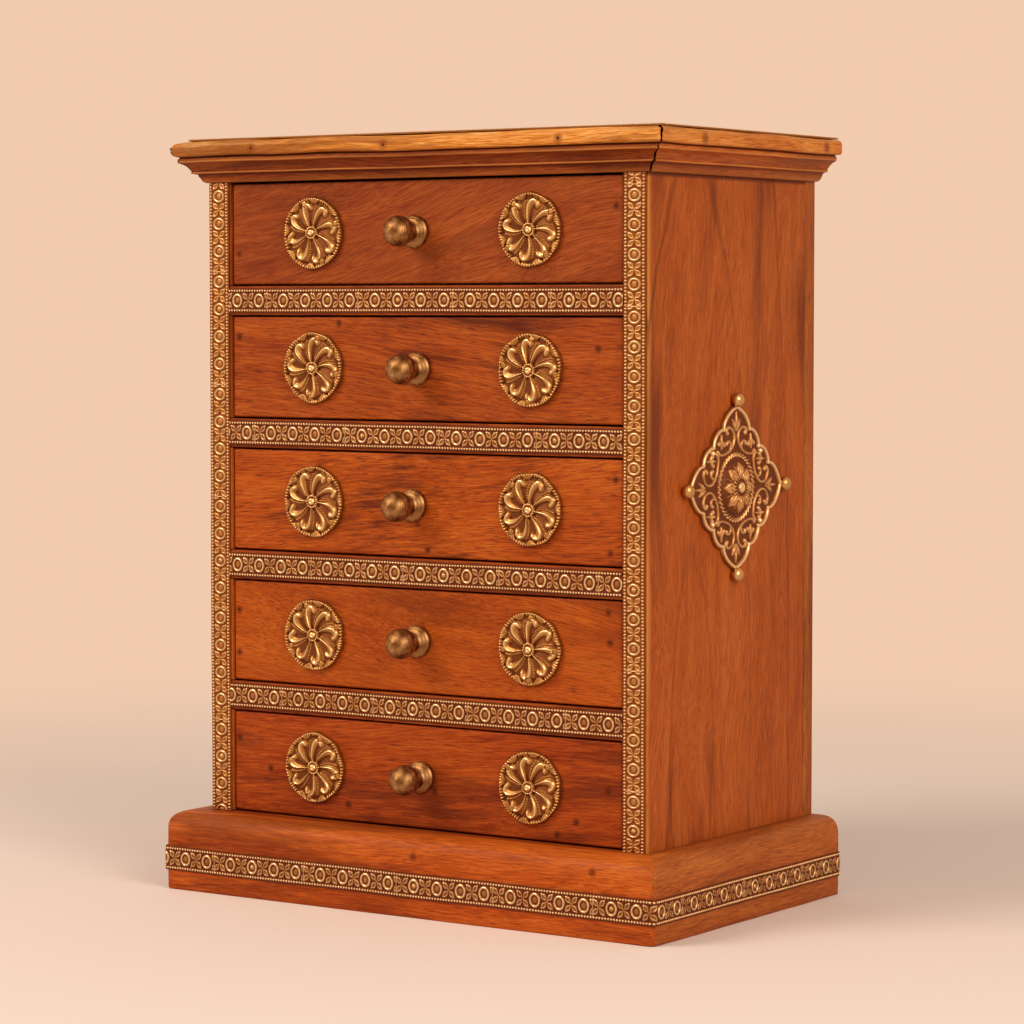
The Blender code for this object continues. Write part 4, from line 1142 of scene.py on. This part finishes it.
# %% Rosette design
PETALS = 8
PETAL_TURNS = [360 / PETALS * k for k in range(PETALS)]
PETAL_PATH = [(0, 3.3), (0.5, 6.0), (2, 8.8), (5, 11.3), (10, 13.1), (16, 13.9), (22, 13.5), (26, 12.4)]
CREST_PATH = [(0, 3.3), (0, 6.0), (1, 8.8), (3.4, 11.5), (8.4, 13.6), (15.5, 14.5), (22, 13.9), (25.5, 12.6)]
BEAD_PATH = [(-13, 4.8), (-12, 7.0), (-10, 9.6), (-7, 12.0), (-4, 13.8)]
BEAD_MM = (0.55, 0.7)
FAN_DEGREES = 33

petal = [stroke([polar(*p) for p in PETAL_PATH], [0.7, 1.0, 1.3, 1.7, 2.1, 2.3, 2.2, 1.9],
                [1.1, 1.3, 1.45, 1.55, 1.6, 1.65, 1.65, 1.6]),
         stroke([polar(*p) for p in CREST_PATH], [0.5, 0.6, 0.7, 0.8, 0.9, 1.0, 1.2, 1.3],
                [1.6, 1.85, 2.0, 2.1, 2.15, 2.15, 2.1, 1.95])]
petal += [stroke([polar(FAN_DEGREES + lean * 0.3, 15.0), polar(FAN_DEGREES + lean, 17.2)], [0.5, 0.85], [1.2, 1.85])
          for lean in (-9.4, -4.7, 0, 4.7, 9.4)]
petal += [stroke([polar(FAN_DEGREES + a, 16.5), polar(FAN_DEGREES + a, 17.2)], [0.8, 0.95], [1.5, 1.85])
          for a in (14.8, 20.0, 25.0, 30.2)]
button = [stroke([polar(a, 2.5), polar(a, 2.95)], [0.42, 0.52], [1.9, 2.15]) for a in np.arange(0, 360, 20)]
button += [[[*polar(a, 2.75), 0.75, 1.65]] for a in np.arange(0, 360, 8)]
button += [[[*polar(a, 0.8), 1.3, 2.6]] for a in np.arange(0, 360, 20)]
whirl = np.vstack([turned_about(np.vstack(petal), a) for a in PETAL_TURNS] + button)
bead_row = [[*bead, *BEAD_MM] for bead in smooth_line([polar(*p) for p in BEAD_PATH], 0.95)]
bead_rows = np.vstack([turned_about(bead_row, a) for a in PETAL_TURNS])
print("rosette:", len(whirl), "domes and", len(bead_rows), "beads")

# %% [markdown]
# ## The rise of a rosette
# The design is laid on the polar grid. The edge of the blank isn't a true circle: it follows the ridges of the
# rim and swells where the press squeezed it. The slope behind each crest is a height that falls with the angle
# from the petal's line, and the beads stand on it.

# %% Rosette heights
ROSETTE_MM = 18.2
ROSETTE_RINGS = 50
ROSETTE_SPOKES = 384
EDGE_INSET_MM = 0.35
SWELLS, SWELL_MM = 9, 0.25
RIDGES, RIDGE_MM = 72, 0.18
SLOPE_MM = 1.2
SLOPE_DEGREES = 38
SLOPE_START_MM, SLOPE_END_MM = (3.5, 2.0), (15.2, 1.2)  # radius and how gradually the slope comes and goes

rosette_turns = even_turns(ROSETTE_SPOKES)
rosette_edge = (ROSETTE_MM - EDGE_INSET_MM + SWELL_MM * np.sin(SWELLS * rosette_turns)
                + RIDGE_MM * np.sin(RIDGES * rosette_turns))
rosette_points = round_sheet_points(rosette_edge, ROSETTE_RINGS)


def slope_heights(points):
    """Height of the slope that falls away behind each crest."""
    out = np.hypot(*points.T)
    turn = np.degrees(np.arctan2(points[:, 0], points[:, 1]))
    path_turns, path_radii = np.array(PETAL_PATH[:5]).T
    behind = (np.interp(out, path_radii, path_turns) - turn) % (360 / PETALS)
    window = (np.clip((out - SLOPE_START_MM[0]) / SLOPE_START_MM[1], 0, 1)
              * np.clip((SLOPE_END_MM[0] - out) / SLOPE_END_MM[1], 0, 1))
    return SLOPE_MM * window * np.clip(1 - behind / SLOPE_DEGREES, 0, 1)


rosette_rise = np.maximum(dome_heights(rosette_points, whirl),
                          slope_heights(rosette_points) + dome_heights(rosette_points, bead_rows))
print("rosette:", len(rosette_points), "points, rise up to", round(rosette_rise.max(), 2), "mm")

# %% [markdown]
# ## Rosettes on the drawers
# The ten rosettes came from one die, and each was pinned as it came to hand, so each is turned differently and
# its four nails sit elsewhere near the rim. A flat nail head is a dome cut off at the top. The sheet is slightly
# dished out in the middle and bent by handling, so each rosette catches the light in its own way.

# %% Rosettes
BLANK_MM = 0.5
DISH_MM = 0.9
ROSETTE_RELIEF_MM = 2.0
CREST_CURVE = 1.9
NAIL_CIRCLE_MM = 15.2
NAIL_DEGREES = (2, 87, 184, 272)
NAIL_DOME = (1.6, 2.4)
FLAT_NAIL_MM = 1.5
HEAD_EDGE_MM = 0.3
BENDS_MM = 9.0
BENT_MM = np.array((0.55, 0.40, 0.55))
rosette_out = np.hypot(*rosette_points.T) / ROSETTE_MM
rosette_faces = round_sheet_faces(ROSETTE_RINGS, ROSETTE_SPOKES)


def rosette_mesh(name, nail_turn):
    """A pressed rosette facing -Y, slightly bent, with its middle at the origin and its back at y = 0."""
    nails = [[*polar(nail_turn + a, NAIL_CIRCLE_MM), *NAIL_DOME] for a in NAIL_DEGREES]
    heads = np.minimum(dome_heights(rosette_points, nails), FLAT_NAIL_MM)
    rise = np.where(heads > HEAD_EDGE_MM, heads, rosette_rise)
    bends = np.array([noise.noise_vector(Vector((u, nail_turn, v)) / BENDS_MM) for u, v in rosette_points])
    front = np.column_stack([rosette_points[:, 0], -(BLANK_MM + DISH_MM * (1 - rosette_out ** 2) + rise),
                             rosette_points[:, 1]]) + bends * BENT_MM
    behind = front[-ROSETTE_SPOKES:] * np.array([1, 0, 1])
    relief = np.concatenate([np.clip(rise / ROSETTE_RELIEF_MM, 0, 1) ** CREST_CURVE,
                             np.full(ROSETTE_SPOKES, EDGE_TONE)])
    return relief_mesh(name, np.vstack([front, behind]) * MM, rosette_faces, relief)


for number in DRAWERS:
    for side, turn, nail_turn in (("left", 17 * number, 13 * number + 40), ("right", 29 * number + 11, 13 * number)):
        node = f"rosette_{number}_{side}"
        low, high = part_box(node)
        middle = (low + high) / 2
        piece(node + "_relief", rosette_mesh(node, nail_turn), ROSETTE_BRASS, f"drawer_{number}",
              [node], (middle.x, high.y, middle.z), math.radians(turn))
print("rosettes:", 2 * len(DRAWERS))

# %% [markdown]
# ## The edge of a side plaque
# The plaque is a pressed diamond with a scalloped edge. Along one quarter of the diamond four scallops swell
# out between cusps, the two at the tips leaning towards them. The other quarters are folded onto this one.

# %% Plaque edge
BALL_REACH_MM = 5.4
plaque_low, plaque_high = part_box("plaque_right")
PLAQUE_HALF_MM = [side / 2 / MM - BALL_REACH_MM for side in (plaque_high - plaque_low).yz]
SCALLOPS = [(0.0, 0.28, 2.7), (0.28, 0.5, 3.0), (0.5, 0.72, 3.0), (0.72, 1.0, 2.7)]  # cusps, swell in mm
TIP_LEAN = 1.4
SCALLOP_FULLNESS = 0.55


def plaque_edge(turns):
    """Radius of the scalloped diamond at each angle from the horizontal."""
    wide, tall = PLAQUE_HALF_MM
    out = np.array([tall, wide]) / math.hypot(wide, tall)
    share = np.linspace(0, 1, 801)
    swell = np.zeros_like(share)
    for start, end, swell_mm in SCALLOPS:
        inside = (share >= start) & (share <= end)
        along = (share[inside] - start) / (end - start)
        if start == 0:
            along = along ** TIP_LEAN
        elif end == 1:
            along = (1 - along) ** TIP_LEAN
        swell[inside] = swell_mm * np.sin(math.pi * along) ** SCALLOP_FULLNESS
    x = wide * (1 - share) + out[0] * swell
    y = tall * share + out[1] * swell
    angle, radius = np.arctan2(y, x), np.hypot(x, y)
    order = np.argsort(angle)
    folded = np.arctan2(np.abs(np.sin(turns)), np.abs(np.cos(turns)))
    return np.interp(folded, angle[order], radius[order])


print("plaque:", [round(2 * half_mm, 1) for half_mm in PLAQUE_HALF_MM], "mm from tip to tip")

# %% [markdown]
# ## The scrolls of a plaque
# Inside the edge two C-scrolls in each quarter curl round a small bud, and a spray of three leaves fills each
# point. The design is the same in all four quarters, and mirrored across each diagonal, so an eighth of it is
# drawn and the rest is turned and mirrored.

# %% Plaque scrolls
WIDENING = 1.045
SCROLL_FULLNESS = 1.15
CORNER_BOSS = [21.6, 17.2, 1.5, 2.1]


def quarter_domes():
    """The scrolls, buds and leaves of one quarter, from the design of an eighth and its mirror."""
    scroll = stroke([(8.1, 26.4), (9.0, 27.6), (8.2, 28.8), (5.9, 29.2), (2.8, 27.4), (1.7, 24.1), (2.8, 20.8),
                     (6.4, 17.7), (11.1, 16.2), (14.7, 16.2), (16.6, 17.6)],
                    [1.15, 0.9, 0.72, 0.68, 0.7, 0.74, 0.72, 0.68, 0.65, 0.7, 1.05],
                    [1.2, 1.05, 1.0, 1.0, 1.05, 1.05, 1.05, 1.0, 0.95, 1.0, 1.15])
    curl = stroke([(5.2, 19.0), (4.9, 21.0), (6.2, 22.4), (7.9, 22.2), (8.5, 21.3)],
                  [0.55, 0.65, 0.7, 0.85, 1.1], [0.85, 1.0, 1.05, 1.05, 1.2])
    bud = np.vstack([stroke([(13.3, 18.9), (13.4, 21.9), (13.2, 25.9)], [0.5, 1.15, 0.45], [0.95, 1.2, 0.9]),
                     stroke([(13.4, 22.6), (12.2, 22.2), (11.1, 20.8)], [0.6, 0.95, 1.2], [0.95, 1.05, 1.2]),
                     stroke([(13.4, 22.6), (14.6, 22.4), (15.7, 21.3)], [0.6, 0.95, 1.15], [0.95, 1.05, 1.2])])
    leaf = stroke([(0.5, 27.8), (1.6, 30.4), (3.2, 33.0)], [0.55, 1.2, 0.5], [0.9, 1.2, 0.8])
    eighth = np.vstack([scroll, curl, bud, leaf])
    eighth[:, 2] *= SCROLL_FULLNESS
    return np.vstack([eighth, eighth[:, [1, 0, 2, 3]], [CORNER_BOSS]])


spray = stroke([(0, 29.2), (0, 33.2), (0, 36.8)], [0.5, 1.05, 0.4], [0.95, 1.2, 0.85])
plaque_domes = [quarter_domes() * np.array([right * WIDENING, up, 1, 1]) for right in (1, -1) for up in (1, -1)]
plaque_domes += [turned_about(spray, a) * np.array([WIDENING, 1, 1, 1]) for a in (0, 90, 180, 270)]
print("plaque:", sum(map(len, plaque_domes)), "domes in the scrolls")

# %% [markdown]
# ## The rim and the flower of a plaque
# A raised rim follows the scalloped edge. In the middle a ring of twisted rope frames a domed flower with eight
# petals and a ring of stamens. The dome is a boss under the whole flower, so it swells as one.

# %% Plaque rim, rope and flower
RIM_INSET_MM = 1.3
RIM_DOMES = 1100
RIM_MM = (1.1, 1.4)
ROPE_MM = 16.0
BOSS_MM = 13.2
BOSS_RISE_MM = 3.3
FIELD_MM = 0.9
PLAQUE_RINGS = 104
PLAQUE_SPOKES = 560
PLAQUE_RELIEF_MM = 1.4

rim_turns = np.linspace(0, 2 * math.pi, RIM_DOMES)
rim_radii = plaque_edge(rim_turns) - RIM_INSET_MM
plaque_domes.append([[r * math.cos(t), r * math.sin(t), *RIM_MM] for r, t in zip(rim_radii, rim_turns)])
plaque_domes.append([[*polar(a, ROPE_MM), 0.85, 0.6] for a in np.arange(0, 360, 1.5)])
plaque_domes += [stroke([polar(a - 3.0, ROPE_MM - 0.7), polar(a + 3.0, ROPE_MM + 0.7)], [0.6, 0.6], [1.2, 1.2])
                 for a in np.arange(0, 360, 9)]
flower_petal = np.vstack(
    [stroke([polar(lean * 13, 7.2), polar(lean * 11, 9.2), polar(0, 12.2)], [0.9, 1.15, 0.5], [0.9, 1.1, 0.8])
     for lean in (-1, 1)]
    + [stroke([polar(0, 7.0), polar(0, 10.2)], [1.2, 1.0], [1.15, 1.0]),
       stroke([polar(22.5, 8.6), polar(22.5, 11.2)], [0.7, 0.45], [0.6, 0.5])])
plaque_domes += [turned_about(flower_petal, a) for a in np.arange(0, 360, 45)]
plaque_domes += [stroke([polar(a, 4.6), polar(a, 6.5)], [0.42, 0.72], [0.9, 1.15], 0.4)
                 for a in np.arange(0, 360, 16.364)]
plaque_domes.append([[*polar(a, 1.4), 1.45, 1.35] for a in np.arange(0, 360, 30)])

plaque_points = round_sheet_points(plaque_edge(even_turns(PLAQUE_SPOKES)), PLAQUE_RINGS)
plaque_rise = dome_heights(plaque_points, np.vstack(plaque_domes))
plaque_boss = BOSS_RISE_MM * np.sqrt(np.clip(1 - (np.hypot(*plaque_points.T) / BOSS_MM) ** 2, 0, None))
plaque_height = FIELD_MM + plaque_boss + plaque_rise
print("plaque:", len(plaque_points), "points, crest", round(plaque_height.max(), 2), "mm")

# %% [markdown]
# ## Plaques pinned to the sides
# The photo shows one side only; the other is taken to have the same plaque. The relief is lifted straight out of
# each side panel, and the mirror of the left plaque comes from the sign of its outward direction.

# %% Plaques on the sides
plaque_relief = np.concatenate([np.clip(plaque_rise / PLAQUE_RELIEF_MM, 0, 1),
                                np.full(PLAQUE_SPOKES, EDGE_TONE)])
plaque_faces = round_sheet_faces(PLAQUE_RINGS, PLAQUE_SPOKES)
plaque_seats = {}
for side, sign in (("left", -1), ("right", 1)):
    node = f"plaque_{side}"
    low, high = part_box(node)
    middle = (low + high) / 2
    seat = np.array((high.x if side == "left" else low.x, middle.y, middle.z))
    plaque_seats[side] = (seat, sign)
    front = seat + np.column_stack([sign * plaque_height, sign * plaque_points[:, 0], plaque_points[:, 1]]) * MM
    behind = front[-PLAQUE_SPOKES:].copy()
    behind[:, 0] = seat[0]
    mesh = relief_mesh(node, np.vstack([front, behind]), plaque_faces, plaque_relief)
    piece(node + "_relief", mesh, PLAQUE_BRASS, "carcass", [node])
print("plaques:", list(plaque_seats))

# %% [markdown]
# ## Turned shapes
# Round-headed nails and knobs are turned on a lathe: a half section spun about its axis. A row of nails is one
# mesh, with a copy of the spun shape on each seat, because nobody picks up a single nail.


# %% Turned shapes
def spin(profile, segments):
    """Vertices and faces of a (radius, distance out along -Y) section spun about the Y axis, in mm."""
    vertices, faces, rings = [], [], []
    for radius, along in profile:
        if radius == 0:
            rings.append([len(vertices)])
            vertices.append((0.0, -along, 0.0))
            continue
        rings.append(list(range(len(vertices), len(vertices) + segments)))
        vertices += [(radius * math.cos(turn), -along, radius * math.sin(turn)) for turn in even_turns(segments)]
    for one, other in zip(rings, rings[1:]):
        for i in range(segments):
            j = (i + 1) % segments
            corners = [one[i % len(one)], one[j % len(one)], other[j % len(other)], other[i % len(other)]]
            faces.append(list(dict.fromkeys(corners)))
    faces += [end for end in (rings[0], rings[-1]) if len(end) > 1]
    return np.array(vertices), faces


def many(shape, seats):
    """Copies of a spun shape on seats, each a place in metres and an outward direction, as one mesh's lists."""
    vertices, faces = shape
    blocks = []
    for place, outward in seats:
        turn = Vector(FORWARD).rotation_difference(Vector(outward)).to_matrix()
        blocks.append(vertices @ np.array(turn).T * MM + np.array(place))
    return np.vstack(blocks), [[i + n * len(vertices) for i in face] for n in range(len(seats)) for face in faces]


print("helpers: spin, many")

# %% [markdown]
# ## Brass nails
# Small domed nails hold the strips. A brass nail with a ball for a head sits at each tip of a plaque: its
# section is a little flatter than a true ball and narrows where it meets the wood. Their brass is brighter than
# the strips, as they stand out and are rubbed in passing.

# %% Brass nails
NAIL_TONE = 0.7
NAIL_SEGMENTS, BALL_SEGMENTS = 16, 28
DOME_MM, DOME_FOOT_MM, DOME_STEPS = 1.2, 0.4, 6
DOME_SEAT = 0.92
BALL_SECTION = [(2.5, 0.0), (3.05, 0.75), (3.45, 1.55), (3.55, 2.3), (3.4, 3.2), (2.95, 4.0), (2.2, 4.7),
                (1.2, 5.15), (0, 5.3)]
BALL_PAST_TIP_MM = 2.2
dome_turns = np.radians(np.linspace(0, 90, DOME_STEPS + 1))[:-1]
dome_section = ([(DOME_MM * DOME_SEAT, 0.0)]
                + [(DOME_MM * math.cos(t), DOME_FOOT_MM + (DOME_MM - DOME_FOOT_MM) * math.sin(t)) for t in dome_turns]
                + [(0, DOME_MM)])


def brass_nails(name, head, seats, replaces=()):
    """Brass nail heads on the carcass, as one piece."""
    vertices, faces = many(head, seats)
    mesh = relief_mesh(name, vertices, faces, np.full(len(vertices), NAIL_TONE))
    piece(name, mesh, NAIL_BRASS, "carcass", replaces)


brass_nails("strip_nail_heads", spin(dome_section, NAIL_SEGMENTS), strip_nails)
reach_y, reach_z = ((half_mm + BALL_PAST_TIP_MM) * MM for half_mm in PLAQUE_HALF_MM)
for side, (seat, sign) in plaque_seats.items():
    seats = [(seat + np.array((0, dy, dz)), (sign, 0, 0)) for dy, dz in
             ((reach_y, 0), (-reach_y, 0), (0, reach_z), (0, -reach_z))]
    brass_nails(f"plaque_{side}_nails", spin(BALL_SECTION, BALL_SEGMENTS), seats, [f"plaque_{side}"])
print("brass nails:", len(strip_nails), "in the strips, 4 on each plaque")

# %% [markdown]
# ## The brass of the knobs
# The knobs are solid brass, turned on a lathe and toned to a brown satin by handling. Turning leaves rings round
# the axis, so the finish draws them by distance from the axis. The marks of a turning tool are about a tenth of
# a millimetre apart, too fine for the picture, so they are drawn coarser here.

# %% Knob finish
TURNING_MM = 0.55
TURNING_DEPTH = 0.03 * MM
HANDLING_MM = 4.0
RING_SHARE = 0.13

# bare metal under a brown film: a broad soft highlight, broken by faint rings
KNOB_BRASS, tree, shader = new_material("turned_brass_knob")
coords = add(tree, "TexCoord", out="Object")
rings = add(tree, "TexWave", {"Vector": coords, "Scale": WAVE_UNIT / (TURNING_MM * MM), "Distortion": 1.2,
                              "Detail": 2.0, "Detail Scale": 0.4},
            out="Fac", wave_type="RINGS", rings_direction="Y")
cloud = add(tree, "TexNoise", {"Vector": coords, "Scale": 1 / (HANDLING_MM * MM), "Detail": 4.0})
shade = add(tree, "Math", {0: rings, 1: RING_SHARE, 2: cloud}, operation="MULTIPLY_ADD")
tone = add(tree, "ValToRGB", {"Fac": shade}, [(0.36, "#5c3a20"), (0.56, "#93683c"), (0.80, "#c69a68")])
gloss = add(tree, "MapRange", {"Value": cloud, "From Min": 0.3, "From Max": 0.7, "To Min": 0.36, "To Max": 0.50})
bump = add(tree, "Bump", {"Height": rings, "Strength": 0.4, "Distance": TURNING_DEPTH})
fill(tree, shader, {"Base Color": tone, "Metallic": 1.0, "Roughness": gloss, "Normal": bump})
print("finish:", KNOB_BRASS.name)

# %% [markdown]
# ## Knobs
# A knob is a ball on a waisted neck over a stepped flange, and its tip keeps a small nub where it was parted
# from the bar. Its shank goes into a hole in the front. The ball is an arc of the section, the rest is points.

# %% Knobs
KNOB_SEGMENTS = 56
KNOB_SEAT = 0.2 * MM
KNOB_SHARP = math.radians(50)
BALL_CENTRE_MM, BALL_RADIUS_MM = 14.2, 7.6
ball = [(BALL_RADIUS_MM * math.sin(t), BALL_CENTRE_MM + BALL_RADIUS_MM * math.cos(t))
        for t in np.radians(np.linspace(146, 16, 22))]
knob_section = ([(2.5, -7.0), (2.5, 0.0), (7.7, 0.0), (8.1, 0.35), (8.1, 1.9), (7.95, 2.3), (7.6, 2.5), (7.5, 2.75),
                 (7.2, 3.0), (6.7, 3.15), (6.5, 3.45), (5.9, 3.75), (5.0, 4.1), (4.5, 4.7), (4.25, 5.6), (4.2, 6.8)]
                + ball + [(1.9, 21.6), (1.7, 21.8), (1.1, 21.95), (0, 22.0)])
vertices, faces = spin(knob_section, KNOB_SEGMENTS)
for number in DRAWERS:
    node = f"drawer_{number}_knob"
    low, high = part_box(node)
    middle = (low + high) / 2
    front_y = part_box(f"drawer_{number}_front")[0].y
    mesh = bpy.data.meshes.new(f"knob_{number}")
    mesh.from_pydata((vertices * MM).tolist(), [], faces)
    mesh.shade_smooth()
    mesh.set_sharp_from_angle(angle=KNOB_SHARP)
    piece(f"knob_{number}", mesh, KNOB_BRASS, f"drawer_{number}", [node],
          (middle.x, front_y - KNOB_SEAT, middle.z))
print("knobs:", len(DRAWERS), "reaching", round(max(a for r, a in knob_section), 1), "mm out")

# %% [markdown]
# ## Iron nail heads
# The heads of the iron nails show as small dark spots in the middle of their stains. Each is a low disc a hair
# proud of the wood, and all the heads of a drawer are one piece. Those of the plinth lie too deep to show.

# %% Iron nail heads
RUST_MM = 0.7
IRON_HEAD = spin([(0.7, -0.3), (0.7, 0.02), (0.5, 0.05), (0, 0.06)], NAIL_SEGMENTS)

# rusted iron is no longer metal to the eye: a dark matt brown, mottled
NAIL_IRON, tree, shader = new_material("rusted_iron_nail")
rust = add(tree, "TexNoise", {"Vector": add(tree, "TexCoord", out="Object"), "Scale": 1 / (RUST_MM * MM),
                              "Detail": 3.0})
tone = add(tree, "ValToRGB", {"Fac": rust}, [(0.35, "#3e1a0a"), (0.7, "#6a3212")])
fill(tree, shader, {"Base Color": tone, "Roughness": 0.8, "Specular IOR Level": 0.1})


def iron_heads(name, seats, body):
    """Iron nail heads on a body, as one piece."""
    vertices, faces = many(IRON_HEAD, seats)
    mesh = bpy.data.meshes.new(name)
    mesh.from_pydata(vertices.tolist(), [], faces)
    piece(name, mesh, NAIL_IRON, body)


for number in DRAWERS:
    iron_heads(f"nail_spots_{number}", [(nail, FORWARD) for nail in nails_in_fronts[number]], f"drawer_{number}")
outward = {"front": FORWARD, "left": (-1.0, 0.0, 0.0), "right": RIGHTWARD}
iron_heads("cornice_nail_spots", [(planed(nail, side, FASCIA_WAVER), outward[side])
                                  for side in WAVER_SEEDS for nail in nails_in_fascia[side]],
           "carcass")
print("iron nails: heads on", len(DRAWERS), "fronts and the cornice")

# %% [markdown]
# ## Sizes
# The dressed chest is meant to keep the size of the solids. Both boxes are printed, so they can be compared.

# %% Print the sizes
low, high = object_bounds()
print("cad", [round(v / MM, 1) for v in cad_high - cad_low], "visual", [round(v / MM, 1) for v in high - low])
